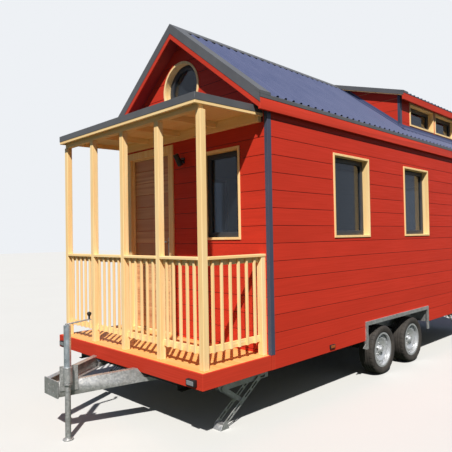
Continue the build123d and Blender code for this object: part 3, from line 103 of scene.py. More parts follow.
DORMER_WINDOWS = (1.694, 2.564)
DORMER_WINDOW_HALF = 0.4125
DORMER_WINDOW_SILL = 3.221
DORMER_WINDOW_HEAD = 3.552
ARCH = (-0.456, 1.231)
ARCH_TOP = 0.684
FAR = 10.0


# Materials

def colour(code):
    """Linear colour of an sRGB hex value."""
    channels = [int(code[start:start + 2], 16) / 255 for start in (0, 2, 4)]
    linear = [c / 12.92 if c <= 0.04045 else ((c + 0.055) / 1.055) ** 2.4 for c in channels]
    return (*linear, 1.0)


def add(tree, kind, values=None, links=None, **settings):
    """Add a node with its settings, its fixed inputs and its links."""
    node = tree.nodes.new(kind)
    for key, value in settings.items():
        setattr(node, key, value)
    for socket, value in (values or {}).items():
        node.inputs[socket].default_value = value
    for socket, source in (links or {}).items():
        tree.links.new(source, node.inputs[socket])
    return node


def finish_named(name):
    """A new material, its tree, its shader and the place on the object."""
    material = bpy.data.materials.new(name)
    material.use_nodes = True
    tree = material.node_tree
    place = add(tree, "ShaderNodeTexCoord").outputs["Object"]
    return material, tree, tree.nodes["Principled BSDF"], place


def stretched(tree, place, size):
    """The place measured in pattern sizes along each axis."""
    scale = tuple(1 / length for length in size)
    return add(tree, "ShaderNodeMapping", {"Scale": scale}, {"Vector": place}).outputs["Vector"]


def speckle(tree, place, size, detail=3.0, roughness=0.55, distortion=0.0):
    """Noise of a real size along each axis."""
    vector = stretched(tree, place, size)
    values = {"Scale": 1.0, "Detail": detail, "Roughness": roughness, "Distortion": distortion}
    return add(tree, "ShaderNodeTexNoise", values, {"Vector": vector}).outputs["Fac"]


def blended(tree, amount, first, second):
    """A colour between two, by an amount from 0 to 1. Each is a hex value or an output."""
    node = add(tree, "ShaderNodeMix", links={"Factor": amount}, data_type="RGBA")
    for socket, value in (("A", first), ("B", second)):
        target = [s for s in node.inputs if s.name == socket and s.type == "RGBA"][0]
        if isinstance(value, str):
            target.default_value = colour(value)
        else:
            tree.links.new(value, target)
    return [s for s in node.outputs if s.type == "RGBA"][0]


def ranged(tree, value, low, high, start, end):
    """A value brought from the range low to high into the range start to end."""
    values = {"From Min": low, "From Max": high, "To Min": start, "To Max": end}
    return add(tree, "ShaderNodeMapRange", values, {"Value": value}).outputs["Result"]


def raised(tree, shader, height, distance, strength=0.6):
    """Bump of a real height."""
    values = {"Distance": distance, "Strength": strength}
    bump = add(tree, "ShaderNodeBump", values, {"Height": height})
    tree.links.new(bump.outputs["Normal"], shader.inputs["Normal"])


def driven(tree, shader, base, roughness):
    """Let outputs give a shader its colour and its roughness."""
    tree.links.new(base, shader.inputs["Base Color"])
    tree.links.new(roughness, shader.inputs["Roughness"])


def reckoned(tree, operation, *values):
    """One step of arithmetic on numbers and outputs."""
    numbers = {i: v for i, v in enumerate(values) if isinstance(v, float)}
    links = {i: v for i, v in enumerate(values) if not isinstance(v, float)}
    return add(tree, "ShaderNodeMath", numbers, links, operation=operation).outputs[0]


def by_board(tree, place, spread):
    """A random value for each separate board, and the place moved by it."""
    island = add(tree, "ShaderNodeNewGeometry").outputs["Random Per Island"]
    moved = add(
        tree, "ShaderNodeVectorMath", {1: spread}, {0: island, 2: place}, operation="MULTIPLY_ADD"
    )
    return island, moved.outputs["Vector"]


GRAIN = {"x": (1, 0.03, 0.03), "y": (0.03, 1, 0.03), "z": (0.03, 0.03, 1)}


def timber(name, pale, warm, dark, axis, roughness=0.6, tone=0.5):
    """Planed softwood, with long bands of growth rings and each board a little different."""
    material, tree, shader, place = finish_named(name)
    island, place = by_board(tree, place, (7.3, 11.9, 5.1))
    # Rings 20 to 30 mm apart, drawn coarser than real ones so that they show from the camera
    length = GRAIN[axis]
    rings = speckle(tree, place, tuple(1.3 * v for v in length), 2.0, 0.5, 0.6)
    fibres = speckle(tree, place, tuple(0.25 * v for v in length), 4.0, 0.6)
    base = blended(tree, ranged(tree, rings, 0.35, 0.65, 0.0, 1.0), pale, warm)
    base = blended(tree, ranged(tree, fibres, 0.52, 0.75, 0.0, 0.55), base, dark)
    base = blended(tree, ranged(tree, island, 0.0, 1.0, 0.0, tone), base, warm)
    rough = ranged(tree, fibres, 0.3, 0.7, roughness - 0.08, roughness + 0.08)
    driven(tree, shader, base, rough)
    shader.inputs["IOR"].default_value = 1.5
    raised(tree, shader, fibres, 0.0005)
    return material


# Planed pine with a clear oil: warm pale yellow, and every board a little different
PINE = ("FFE3AC", "F9D08F", "D8A25E")
pine_x = timber("oiled_pine_along_x", *PINE, "x")
pine_y = timber("oiled_pine_along_y", *PINE, "y")
pine_z = timber("oiled_pine_upright", *PINE, "z")
# The deck has had more oil, which turns pine orange
deck_pine = timber("oiled_pine_deck", "F3BF7C", "E8A85F", "BB7A42", "x", 0.55)
# Door planks of larch: pinkish and yellow boards side by side
larch = timber("oiled_larch_planks", "EBC08A", "BF865E", "9C6645", "x", 0.5, 1.0)


def stained_boards(name, body, shade, separate):
    """Spruce boards with an opaque red stain that lets a little of the grain through."""
    material, tree, shader, place = finish_named(name)
    if separate:
        island, place = by_board(tree, place, (3.1, 5.7, 0.9))
    # The grain runs along the boards, across the house or along it
    streaks = speckle(tree, place, (0.5, 0.5, 0.012), 3.0, 0.6)
    clouds = speckle(tree, place, (0.9, 0.9, 0.3), 2.0, 0.5)
    base = blended(tree, ranged(tree, streaks, 0.35, 0.75, 0.0, 0.5), body, shade)
    base = blended(tree, ranged(tree, clouds, 0.3, 0.7, 0.0, 0.35), base, shade)
    if separate:
        base = blended(tree, ranged(tree, island, 0.0, 1.0, 0.0, 0.3), base, shade)
    driven(tree, shader, base, ranged(tree, streaks, 0.3, 0.7, 0.5, 0.68))
    # Stain soaks into sawn wood, so it hardly shines
    shader.inputs["Specular IOR Level"].default_value = 0.2
    raised(tree, shader, streaks, 0.0008)
    return material


# Wood stain, falun red: clouded along the boards, as brushed stain is
red_boards = stained_boards("red_stained_spruce", "D43A27", "B42F1C", True)
red_edges = stained_boards("red_stained_edges", "D03E2A", "AE321E", False)


# Matchboard indoors, whose finish reaches a little way into the walls
MATCHBOARD = 0.095
MATCHBOARD_JOINT = 0.004
INTO_WALL = 0.003


def shell(name, outside, inside, knots):
    """A wall or roof core: a red darker than the boards where it faces out, as painted shade in the
    joints and under the overhang, and pine panelling within the walls.
    """
    material, tree, shader, place = finish_named(name)
    parts = add(tree, "ShaderNodeSeparateXYZ", links={"Vector": place}).outputs
    across = reckoned(tree, "ABSOLUTE", parts["X"])
    across = reckoned(tree, "LESS_THAN", across, WALL_INNER + INTO_WALL)
    middle = (FRONT_FACE + REAR_FACE) / 2
    half = (REAR_FACE - FRONT_FACE) / 2 - (WALL_FACE - WALL_INNER) + INTO_WALL
    along = reckoned(tree, "COMPARE", parts["Y"], middle, half)
    within = reckoned(tree, "MULTIPLY", across, along)
    # The joints of the matchboard are dark lines
    joint = reckoned(tree, "FLOORED_MODULO", parts["Z"], MATCHBOARD)
    joint = reckoned(tree, "LESS_THAN", joint, MATCHBOARD_JOINT)
    fibres = speckle(tree, place, (0.4, 0.4, 0.01), 3.0, 0.6)
    panel = blended(tree, ranged(tree, fibres, 0.35, 0.7, 0.0, 1.0), inside, knots)
    panel = blended(tree, joint, panel, "6E4A28")
    # Outside the walls the colour is painted shade, within them it is the panelling
    base = blended(tree, within, outside, panel)
    tree.links.new(base, shader.inputs["Base Color"])
    shader.inputs["Roughness"].default_value = 0.65
    raised(tree, shader, fibres, 0.0005)
    return material


# Wall core behind the boards: a dark red that paints the shade in the open joints, so that the
# joints between them look dark red
wall_core = shell("wall_core_painted_joint_shade", "5A150F", "E2BB84", "D0A065")
# Underside of the roof boards: red stain in the overhang, drawn darker than the wall boards as
# painted shade, pine indoors
roof_core = shell("stained_roof_boards_painted_shade", "9C2A1E", "E2BB84", "D0A065")


def coated_sheet(name, body, shade, roughness, sheen_size):
    """Polyester-coated steel sheet: even, with faint weathering that runs down it."""
    material, tree, shader, place = finish_named(name)
    dust = speckle(tree, place, sheen_size, 4.0, 0.6)
    fine = speckle(tree, place, (0.004, 0.004, 0.004), 2.0, 0.5)
    base = blended(tree, ranged(tree, dust, 0.35, 0.7, 0.0, 1.0), body, shade)
    rough = ranged(tree, dust, 0.3, 0.7, roughness - 0.07, roughness + 0.07)
    driven(tree, shader, base, rough)
    shader.inputs["Specular IOR Level"].default_value = 0.3
    raised(tree, shader, fine, 0.00008)
    return material


roof_steel = coated_sheet("coated_steel_slate", "4A5273", "525979", 0.5, (0.25, 0.25, 0.6))
flashing_steel = coated_sheet("coated_steel_grey", "58595C", "626366", 0.45, (0.3, 0.3, 0.3))
trim_steel = coated_sheet("coated_steel_anthracite", "43485A", "4B5062", 0.4, (0.2, 0.2, 0.5))
sash_paint = coated_sheet("powder_coated_sash", "33363C", "3B3E44", 0.45, (0.1, 0.1, 0.1))


def galvanised_steel(name, body, pale, dark, crystal, roughness):
    """Hot-dip galvanised steel: flat crystals of zinc, each a slightly other grey."""
    material, tree, shader, place = finish_named(name)
    vector = stretched(tree, place, (crystal, crystal, crystal))
    spangle = add(
        tree, "ShaderNodeTexVoronoi", {"Scale": 1.0, "Randomness": 1.0}, {"Vector": vector}
    ).outputs["Color"]
    level = add(tree, "ShaderNodeSeparateColor", links={"Color": spangle}).outputs[0]
    cloud = speckle(tree, place, (0.08, 0.08, 0.08), 3.0, 0.6)
    base = blended(tree, level, body, pale)
    base = blended(tree, ranged(tree, cloud, 0.4, 0.75, 0.0, 0.8), base, dark)
    rough = ranged(tree, level, 0.0, 1.0, roughness - 0.08, roughness + 0.1)
    driven(tree, shader, base, rough)
    shader.inputs["Metallic"].default_value = 0.75
    raised(tree, shader, cloud, 0.0004, 0.3)
    return material


# Spangles are 8 to 15 mm across on hot-dip work of this thickness
galvanised = galvanised_steel("hot_dip_galvanised", "BDBDBD", "D2D1CF", "A7A5A0", 0.012, 0.45)
jack_zinc = galvanised_steel("zinc_plated_tube", "CBD5DF", "DFE6EC", "B7C0CB", 0.03, 0.35)


def painted_metal(name, body, worn, roughness, metallic):
    """Sprayed paint on steel, a little duller and browner where dust has settled."""
    material, tree, shader, place = finish_named(name)
    dust = speckle(tree, place, (0.09, 0.09, 0.09), 4.0, 0.65)
    peel = speckle(tree, place, (0.006, 0.006, 0.006), 2.0, 0.5)
    base = blended(tree, ranged(tree, dust, 0.45, 0.8, 0.0, 0.7), body, worn)
    driven(tree, shader, base, ranged(tree, dust, 0.3, 0.8, roughness, roughness + 0.15))
    shader.inputs["Metallic"].default_value = metallic
    raised(tree, shader, peel, 0.00005)
    return material


chassis_paint = painted_metal("black_chassis_paint", "2B2A2A", "3A352F", 0.5, 0.0)
# Silver wheel paint has aluminium flakes, so it shines without a mirror
wheel_silver = painted_metal("silver_wheel_paint", "D3D5D8", "A9A59E", 0.32, 0.55)
lamp_black = painted_metal("black_powder_coat", "17171A", "232225", 0.4, 0.0)
screw_steel = painted_metal("painted_screw_heads", "2A2C30", "3A3B3E", 0.35, 0.4)
bolt_zinc = painted_metal("zinc_plated_bolts", "B8B9B6", "8F8B82", 0.35, 0.8)
stainless = painted_metal("brushed_stainless", "C4C3C0", "B0AFAC", 0.28, 0.95)


def moulded(name, body, worn, roughness, grain, height):
    """A moulded plastic or rubber with a fine grain from its mould."""
    material, tree, shader, place = finish_named(name)
    skin = speckle(tree, place, (grain, grain, grain), 2.0, 0.5)
    dust = speckle(tree, place, (0.06, 0.06, 0.06), 4.0, 0.6)
    base = blended(tree, ranged(tree, dust, 0.4, 0.75, 0.0, 0.8), body, worn)
    rough = ranged(tree, dust, 0.3, 0.7, roughness - 0.08, roughness + 0.08)
    driven(tree, shader, base, rough)
    raised(tree, shader, skin, height)
    return material


# Tyre rubber greys and browns with road dust
tyre_rubber = moulded("dusty_tyre_rubber", "35312E", "4A443E", 0.75, 0.004, 0.0002)
black_plastic = moulded("black_polypropylene", "1B1B1C", "29282A", 0.45, 0.002, 0.0001)


def clear_plastic(name, body, roughness):
    """Ribbed lens of an acrylic lamp, drawn opaque with its prisms as bump."""
    material, tree, shader, place = finish_named(name)
    vector = stretched(tree, place, (0.006, 0.006, 0.006))
    prisms = add(
        tree, "ShaderNodeTexWave", {"Scale": 1.0}, {"Vector": vector}, bands_direction="X"
    ).outputs["Fac"]
    shader.inputs["Base Color"].default_value = colour(body)
    tree.links.new(ranged(tree, prisms, 0.0, 1.0, roughness, roughness + 0.1),
                   shader.inputs["Roughness"])
    shader.inputs["IOR"].default_value = 1.49
    shader.inputs["Coat Weight"].default_value = 0.6
    raised(tree, shader, prisms, 0.0006)
    return material


clear_lens = clear_plastic("clear_acrylic_lens", "8D8F92", 0.12)
amber_lens = clear_plastic("amber_acrylic_lens", "A9551C", 0.12)

# Double glazing: float glass with a soft blue-grey coating, dark against the room behind it
pane, pane_tree, pane_shader, pane_place = finish_named("coated_float_glass")
pane_shader.inputs["Base Color"].default_value = colour("66727E")
pane_shader.inputs["Transmission Weight"].default_value = 0.92
pane_shader.inputs["IOR"].default_value = 1.52
waves = speckle(pane_tree, pane_place, (0.35, 0.35, 0.35), 1.0, 0.5)
pane_tree.links.new(ranged(pane_tree, waves, 0.0, 1.0, 0.01, 0.04),
                    pane_shader.inputs["Roughness"])
raised(pane_tree, pane_shader, waves, 0.0004, 0.2)


# Modelling

def only(piece):
    """Select one piece alone."""
    bpy.ops.object.select_all(action="DESELECT")
    piece.select_set(True)
    bpy.context.view_layer.objects.active = piece


def enter(mode):
    """Go into edit mode or object mode."""
    bpy.ops.object.mode_set(mode=mode)


def apply(piece, kind, **settings):
    """Finish a piece with a modifier."""
    only(piece)
    modifier = piece.modifiers.new(kind.lower(), kind)
    for key, value in settings.items():
        setattr(modifier, key, value)
    bpy.ops.object.modifier_apply(modifier=modifier.name)


def fixed(piece):
    """Put a piece's place into its mesh."""
    only(piece)
    bpy.ops.object.transform_apply(location=True, rotation=True, scale=True)


def block(low, high, arris=0.0):
    """A squared length between two corners, with its arrises taken off."""
    middle = tuple((a + b) / 2 for a, b in zip(low, high))
    size = tuple(abs(b - a) for a, b in zip(low, high))
    bpy.ops.mesh.primitive_cube_add(size=1, location=middle, scale=size)
    piece = bpy.context.object
    fixed(piece)
    if arris:
        apply(piece, "BEVEL", width=arris, segments=1, limit_method="NONE")
    return piece


def rod(start, end, radius, sides=24, arris=0.0):
    """A round or many-sided length between two points."""
    start, end = Vector(start), Vector(end)
    turned = (end - start).to_track_quat("Z", "Y").to_euler()
    bpy.ops.mesh.primitive_cylinder_add(
        vertices=sides, radius=radius, depth=(end - start).length,
        location=(start + end) / 2, rotation=turned,
    )
    piece = bpy.context.object
    fixed(piece)
    if arris:
        apply(piece, "BEVEL", width=arris, segments=2, limit_method="ANGLE")
    return piece


def repeat(piece, step, count):
    """Copies of a piece in a row."""
    if count > 1:
        apply(
            piece, "ARRAY", count=count, use_relative_offset=False,
            use_constant_offset=True, constant_offset_displace=step,
        )


def cut(piece, point, outward):
    """Cut away what lies beyond a plane, and close the cut."""
    only(piece)
    enter("EDIT")
    bpy.ops.mesh.select_all(action="SELECT")
    bpy.ops.mesh.bisect(plane_co=point, plane_no=outward, use_fill=True, clear_outer=True)
    enter("OBJECT")


def joined(pieces):
    """Several pieces as one."""
    bpy.ops.object.select_all(action="DESELECT")
    for piece in pieces:
        piece.select_set(True)
    bpy.context.view_layer.objects.active = pieces[0]
    if len(pieces) > 1:
        bpy.ops.object.join()
    return pieces[0]


def carve(piece, cutters):
    """Take the shape of the cutters out of a piece."""
    cutter = joined(cutters)
    apply(piece, "BOOLEAN", operation="DIFFERENCE", solver="EXACT", object=cutter)
    bpy.data.objects.remove(cutter, do_unlink=True)


def smooth(piece, degrees=35):
    """Round surfaces look round, and folds stay crisp."""
    only(piece)
    bpy.ops.object.shade_smooth_by_angle(angle=math.radians(degrees))


def keep(piece, name, body, slot, *materials):
    """Name a finished piece, give it its finish, and let it ride on its body."""
    fixed(piece)
    piece.name = name
    piece.data.name = name
    for material in materials:
        piece.data.materials.append(material)
    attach(piece, body)
    return piece


def finish_by_place(piece, number, test):
    """Give the faces that pass a test on their middle another of the piece's materials."""
    for face in piece.data.polygons:
        if test(face.center):
            face.material_index = number


def refined(node, arris, segments=1):
    """A merged copy of a CAD node with its arrises taken off."""
    only(frame["nodes"][node])
    bpy.ops.object.duplicate()
    piece = bpy.context.object
    bpy.ops.object.parent_clear(type="CLEAR_KEEP_TRANSFORM")
    bpy.ops.mesh.customdata_custom_splitnormals_clear()
    enter("EDIT")
    bpy.ops.mesh.select_all(action="SELECT")
    bpy.ops.mesh.remove_doubles(threshold=0.00001)
    bpy.ops.mesh.dissolve_limited(angle_limit=math.radians(0.5))
    enter("OBJECT")
    piece.data.materials.clear()
    apply(
        piece, "BEVEL", width=arris, segments=segments, limit_method="ANGLE",
        angle_limit=math.radians(35),
    )
    smooth(piece)
    return piece


def stands_for(node, name, body, slot, *materials, arris=0.002, segments=1):
    """A refined copy takes the place of its CAD node."""
    piece = keep(refined(node, arris, segments), name, body, slot, *materials)
    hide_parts(node)
    return piece


def folded(points, run, thickness):
    """A bent sheet: a strip laid on the first fold, then its free edge is drawn out."""
    points = [Vector(point) for point in points]
    run = Vector(run)
    bpy.ops.mesh.primitive_plane_add(size=1)
    piece = bpy.context.object
    corners = (points[0], points[1], points[0] + run, points[1] + run)
    for vertex, corner in zip(piece.data.vertices, corners):
        vertex.co = corner
    for here, there in zip(points[1:], points[2:]):
        ends = [v.index for v in piece.data.vertices
                if min((v.co - here).length, (v.co - here - run).length) < 0.00001]
        only(piece)
        enter("EDIT")
        bpy.ops.mesh.select_mode(type="EDGE")
        bpy.ops.mesh.select_all(action="DESELECT")
        enter("OBJECT")
        for edge in piece.data.edges:
            edge.select = edge.vertices[0] in ends and edge.vertices[1] in ends
        enter("EDIT")
        bpy.ops.mesh.extrude_region_move(TRANSFORM_OT_translate={"value": there - here})
        enter("OBJECT")
    only(piece)
    enter("EDIT")
    bpy.ops.mesh.select_mode(type="VERT")
    bpy.ops.mesh.select_all(action="SELECT")
    bpy.ops.mesh.normals_make_consistent(inside=False)
    enter("OBJECT")
    apply(piece, "SOLIDIFY", thickness=thickness, offset=0.0, use_even_offset=True)
    return piece


def on_slope(piece, pitch):
    """Tip a flat piece, laid out from the ridge along +X, down the right-hand slope."""
    piece.rotation_euler = (0, pitch, 0)
    piece.location = (0, 0, RIDGE - SHEET_DROP / math.cos(pitch))
    fixed(piece)


def both_sides(piece):
    """The same on the left of the house."""
    apply(piece, "MIRROR", use_axis=(True, False, False), use_mirror_merge=False)


# Red boards outside the walls, one every 163.5 mm, with open joints between them
BOARD_LINE = 0.631
BOARD_REVEAL = 0.1635
BOARD_PROUD = 0.004
BOARD_JOINT = 0.005
BOARD_ARRIS = 0.0012


def courses(axis, start, end, face, out, low, high):
    """Boards one above the other on a wall, from low to high."""
    first = math.floor((low - BOARD_LINE) / BOARD_REVEAL)
    count = math.ceil((high - BOARD_LINE) / BOARD_REVEAL) - first
    bottom = BOARD_LINE + first * BOARD_REVEAL + BOARD_JOINT / 2
    top = bottom + BOARD_REVEAL - BOARD_JOINT
    near, far = sorted((face, face + out * BOARD_PROUD))
    if axis == "x":
        boards = block((start, near, bottom), (end, far, top), BOARD_ARRIS)
    else:
        boards = block((near, start, bottom), (far, end, top), BOARD_ARRIS)
    repeat(boards, (0, 0, BOARD_REVEAL), count)
    if high < top + (count - 1) * BOARD_REVEAL - 0.001:
        cut(boards, (0, 0, high), (0, 0, 1))
    if low > bottom + 0.001:
        cut(boards, (0, 0, low), (0, 0, -1))
    return boards


def hole(low, high):
    """A cutter between two corners."""
    return block(low, high)


def under_roof(piece, depth=ROOF_DEPTH, pitch=ROOF_PITCH):
    """Cut a gable's boards off along both slopes."""
    apex = (0, 0, RIDGE - depth / math.cos(pitch))
    for side in (1, -1):
        cut(piece, apex, (side * math.sin(pitch), 0, math.cos(pitch)))


def over_roof(piece):
    """Cut a dormer's boards off where they meet the roof."""
    foot = (0, 0, RIDGE - SHEET_DROP / math.cos(ROOF_PITCH))
    cut(piece, foot, (-math.sin(ROOF_PITCH), 0, -math.cos(ROOF_PITCH)))


eave_boards_top = RIDGE - WALL_FACE * math.tan(ROOF_PITCH) - ROOF_DEPTH / math.cos(ROOF_PITCH)
side_boards = courses(
    "y", FRONT_FACE + TRIM_LAP, REAR_FACE - TRIM_LAP, WALL_FACE, 1, PLATFORM_LOW, eave_boards_top
)
cutters = [hole((1, y - SIDE_WINDOW_HALF, WINDOW_SILL), (2, y + SIDE_WINDOW_HALF, WINDOW_HEAD))
           for y in SIDE_WINDOWS]
cutters.append(hole((1, ARCH[0], 0), (2, ARCH[1], ARCH_TOP)))
carve(side_boards, cutters)
both_sides(side_boards)
keep(side_boards, "side_wall_boards", "house", "red_boards", red_boards)

# The front boards stop at the door, the windows and the porch roof
DOOR_CASING = (-1.052, -0.148)
DOOR_CASING_TOP = 2.710
PORCH_ROOF_BAND = (2.7306, 2.8698)
PORCH_ROOF_HALF = 1.171
trim_inner = WALL_FACE - TRIM_RETURN
front_boards = courses("x", -trim_inner, trim_inner, FRONT_FACE, -1, DECK_TOP, RIDGE)
under_roof(front_boards)
carve(front_boards, [
    hole((DOOR_CASING[0], -FAR, 0), (DOOR_CASING[1], 0, DOOR_CASING_TOP)),
    hole((FRONT_WINDOW[0], -FAR, WINDOW_SILL), (FRONT_WINDOW[1], 0, WINDOW_HEAD)),
    hole((-PORCH_ROOF_HALF, -FAR, PORCH_ROOF_BAND[0]), (PORCH_ROOF_HALF, 0, PORCH_ROOF_BAND[1])),
    rod((0, -FAR, ROUND_WINDOW), (0, 0, ROUND_WINDOW), ROUND_WINDOW_RADIUS, 96),
])
keep(front_boards, "front_wall_boards", "house", "red_boards", red_boards)

rear_boards = courses("x", -trim_inner, trim_inner, REAR_FACE, 1, PLATFORM_LOW, RIDGE)
under_roof(rear_boards)
carve(rear_boards, [
    hole((-SIDE_WINDOW_HALF, 0, WINDOW_SILL), (SIDE_WINDOW_HALF, FAR, WINDOW_HEAD)),
    rod((0, 0, ROUND_WINDOW), (0, FAR, ROUND_WINDOW), ROUND_WINDOW_RADIUS, 96),
])
keep(rear_boards, "rear_wall_boards", "house", "red_boards", red_boards)

# Dormer boards: two cheeks, begun below the roof, and the window wall on each side
CHEEK_LOW = 3.0
dormer_boards = []
for face, out in ((DORMER_FRONT, -1), (DORMER_REAR, 1)):
    cheek = courses("x", 0, DORMER_FACE - TRIM_RETURN, face, out, CHEEK_LOW, RIDGE)
    under_roof(cheek, DORMER_DEPTH, DORMER_PITCH)
    over_roof(cheek)
    dormer_boards.append(cheek)
dormer_foot = RIDGE - DORMER_FACE * math.tan(ROOF_PITCH) - SHEET_DROP / math.cos(ROOF_PITCH)
dormer_head = RIDGE - DORMER_FACE * math.tan(DORMER_PITCH) - DORMER_DEPTH / math.cos(DORMER_PITCH)
window_wall = courses(
    "y", DORMER_FRONT + TRIM_LAP, DORMER_REAR - TRIM_LAP, DORMER_FACE, 1, dormer_foot, dormer_head
)
carve(window_wall, [
    hole((0.5, y - DORMER_WINDOW_HALF, DORMER_WINDOW_SILL),
         (2, y + DORMER_WINDOW_HALF, DORMER_WINDOW_HEAD))
    for y in DORMER_WINDOWS
])
dormer_boards = joined(dormer_boards + [window_wall])
both_sides(dormer_boards)
keep(dormer_boards, "dormer_boards", "house", "red_boards", red_boards)

# Roof sheets: trapezoidal ribs 120 mm apart that run down the slope
RIB_PITCH = 0.120
RIB_HEIGHT = 0.015
RIB_PROFILE = ((0.0, 0), (0.038, 0), (0.049, 1), (0.071, 1), (0.082, 0), (RIB_PITCH, 0))
RIB_FROM_VERGE = 0.1375
SHEET_STEEL = 0.001
SHEET_FROM_VERGE = 0.004
SHEET_FROM_RIDGE = 0.012
SHEET_FROM_EAVE = 0.016
DORMER_SHEET_FROM_EAVE = 0.012
SCREW_RADIUS = 0.006
SCREW_CLEAR = 0.05
# Screws: first row from the ridge, distance between rows, number of rows, screws in a row
SCREWS = (0.22, 0.42, 4, 23)
DORMER_SCREWS = (0.24, 0.35, 3, 9)


def ribbed_sheet(start, end, first, top, length):
    """Profiled sheet laid flat: ribs along X from top to length, the first centred at first."""
    bpy.ops.mesh.primitive_grid_add(x_subdivisions=1, y_subdivisions=len(RIB_PROFILE) - 1, size=1)
    sheet = bpy.context.object
    rows = sorted({round(v.co.y, 4) for v in sheet.data.vertices})
    edge = first - RIB_PITCH / 2
    for vertex in sheet.data.vertices:
        place, crest = RIB_PROFILE[rows.index(round(vertex.co.y, 4))]
        down = top if vertex.co.x < 0 else length
        vertex.co = (down, edge + place, SHEET_STEEL + crest * RIB_HEIGHT)
    count = math.floor((end - first - RIB_PITCH / 4) / RIB_PITCH) + 1
    apply(
        sheet, "ARRAY", count=count, use_relative_offset=False, use_constant_offset=True,
        constant_offset_displace=(0, RIB_PITCH, 0), use_merge_vertices=True,
        merge_threshold=0.00005,
    )
    # The flats beside the outer ribs reach both edges
    last = edge + count * RIB_PITCH
    for vertex in sheet.data.vertices:
        if vertex.co.y < edge + 0.001:
            vertex.co.y = start
        elif vertex.co.y > last - 0.001:
            vertex.co.y = end
    apply(sheet, "SOLIDIFY", thickness=SHEET_STEEL, offset=0.0)
    return sheet


def screw_rows(verge_face, first, step, rows, count):
    """Hexagon heads with their washers beside every other rib, in rows, laid flat."""
    heads = joined([
        rod((0, 0, 0), (0, 0, SCREW_RADIUS * 0.9), SCREW_RADIUS, 6),
        rod((0, 0, -0.002), (0, 0, 0.001), SCREW_RADIUS * 1.5, 12),
    ])
    heads.location = (first, verge_face + RIB_FROM_VERGE + RIB_PITCH / 2, SHEET_STEEL)
    fixed(heads)
    repeat(heads, (step, 0, 0), rows)
    repeat(heads, (0, 2 * RIB_PITCH, 0), count)
    return heads


slope_length = EAVE / math.cos(ROOF_PITCH)
main_sheets = ribbed_sheet(
    ROOF_FRONT + SHEET_FROM_VERGE, ROOF_REAR - SHEET_FROM_VERGE, ROOF_FRONT + RIB_FROM_VERGE,
    SHEET_FROM_RIDGE, slope_length - SHEET_FROM_EAVE,
)
on_slope(main_sheets, ROOF_PITCH)
carve(main_sheets, [
    hole((-1, DORMER_FRONT - 0.005, 2), (DORMER_FACE + 0.006, DORMER_REAR + 0.005, 5))
])
both_sides(main_sheets)

main_screws = screw_rows(ROOF_FRONT, *SCREWS)
on_slope(main_screws, ROOF_PITCH)
carve(main_screws, [
    hole((-1, DORMER_FRONT - SCREW_CLEAR, 2),
         (DORMER_FACE + SCREW_CLEAR, DORMER_REAR + SCREW_CLEAR, 5))
])
both_sides(main_screws)
keep(main_screws, "roof_screws", "house", "roof_sheet", screw_steel)

dormer_length = DORMER_EAVE / math.cos(DORMER_PITCH)
dormer_start = DORMER_FRONT - DORMER_OVERHANG
dormer_end = DORMER_REAR + DORMER_OVERHANG
dormer_sheets = ribbed_sheet(
    dormer_start + SHEET_FROM_VERGE, dormer_end - SHEET_FROM_VERGE,
    dormer_start + RIB_FROM_VERGE, SHEET_FROM_RIDGE, dormer_length - DORMER_SHEET_FROM_EAVE,
)
on_slope(dormer_sheets, DORMER_PITCH)
both_sides(dormer_sheets)
roof_sheets = joined([main_sheets, dormer_sheets])
keep(roof_sheets, "profiled_roof_sheets", "house", "roof_sheet", roof_steel)
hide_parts("roof_sheets")

dormer_screws = screw_rows(dormer_start, *DORMER_SCREWS)
on_slope(dormer_screws, DORMER_PITCH)
both_sides(dormer_screws)
keep(dormer_screws, "dormer_roof_screws", "house", "roof_sheet", screw_steel)

# Folded edges of both roofs: verges over the ribs, drips under them, and the ridge caps
FLASHING_STEEL = 0.0016
VERGE_LAP = 0.150
VERGE_FACE = 0.086
DORMER_VERGE_FACE = 0.062
DRIP_LAP = 0.060
DRIP_FACE = 0.058
DORMER_DRIP_FACE = 0.030
RIDGE_LAP = 0.075
CAP_FROM_VERGE = 0.002
# A verge is folded longer than the slope, and cut off plumb at its ends
SPARE_LENGTH = 0.1


def verge(start, way, face, edge, pitch):
    """A verge flashing down one slope: a lap on the ribs and a face on the barge board."""
    top = SHEET_DROP - FLASHING_STEEL / 2
    outer = start + way * FLASHING_STEEL / 2
    inner = start + way * VERGE_LAP
    length = edge / math.cos(pitch) + 2 * SPARE_LENGTH
    sheet = folded(
        [
            (-SPARE_LENGTH, inner, top - 0.014),
            (-SPARE_LENGTH, inner, top),
            (-SPARE_LENGTH, outer, top),
            (-SPARE_LENGTH, outer, SHEET_DROP - face + 0.004),
            (-SPARE_LENGTH, outer + way * 0.005, SHEET_DROP - face),
        ],
        (length, 0, 0), FLASHING_STEEL,
    )
    on_slope(sheet, pitch)
    cut(sheet, (0, 0, 0), (-1, 0, 0))
    cut(sheet, (edge, 0, 0), (1, 0, 0))
    # The end of the lap is folded down at the eave
    foot = RIDGE - edge * math.tan(pitch)
    near, far = sorted((start, inner))
    end = block(
        (edge - FLASHING_STEEL, near, foot - SHEET_DROP / math.cos(pitch)),
        (edge, far, foot - 0.001),
    )
    return joined([sheet, end])


def drip(start, end, face, edge, pitch):
    """A drip flashing: a leg under the sheet and a face down the fascia board."""
    tan = math.tan(pitch)
    outer = edge - FLASHING_STEEL / 2
    lift = (SHEET_DROP - 0.0005) / math.cos(pitch)
    top = RIDGE - outer * tan - lift
    return folded(
        [
            (outer - DRIP_LAP, start, top + DRIP_LAP * tan),
            (outer, start, top),
            (outer, start, RIDGE - edge * tan - face),
            (outer - 0.008, start, RIDGE - edge * tan - face - 0.002),
        ],
        (0, end - start, 0), FLASHING_STEEL,
    )


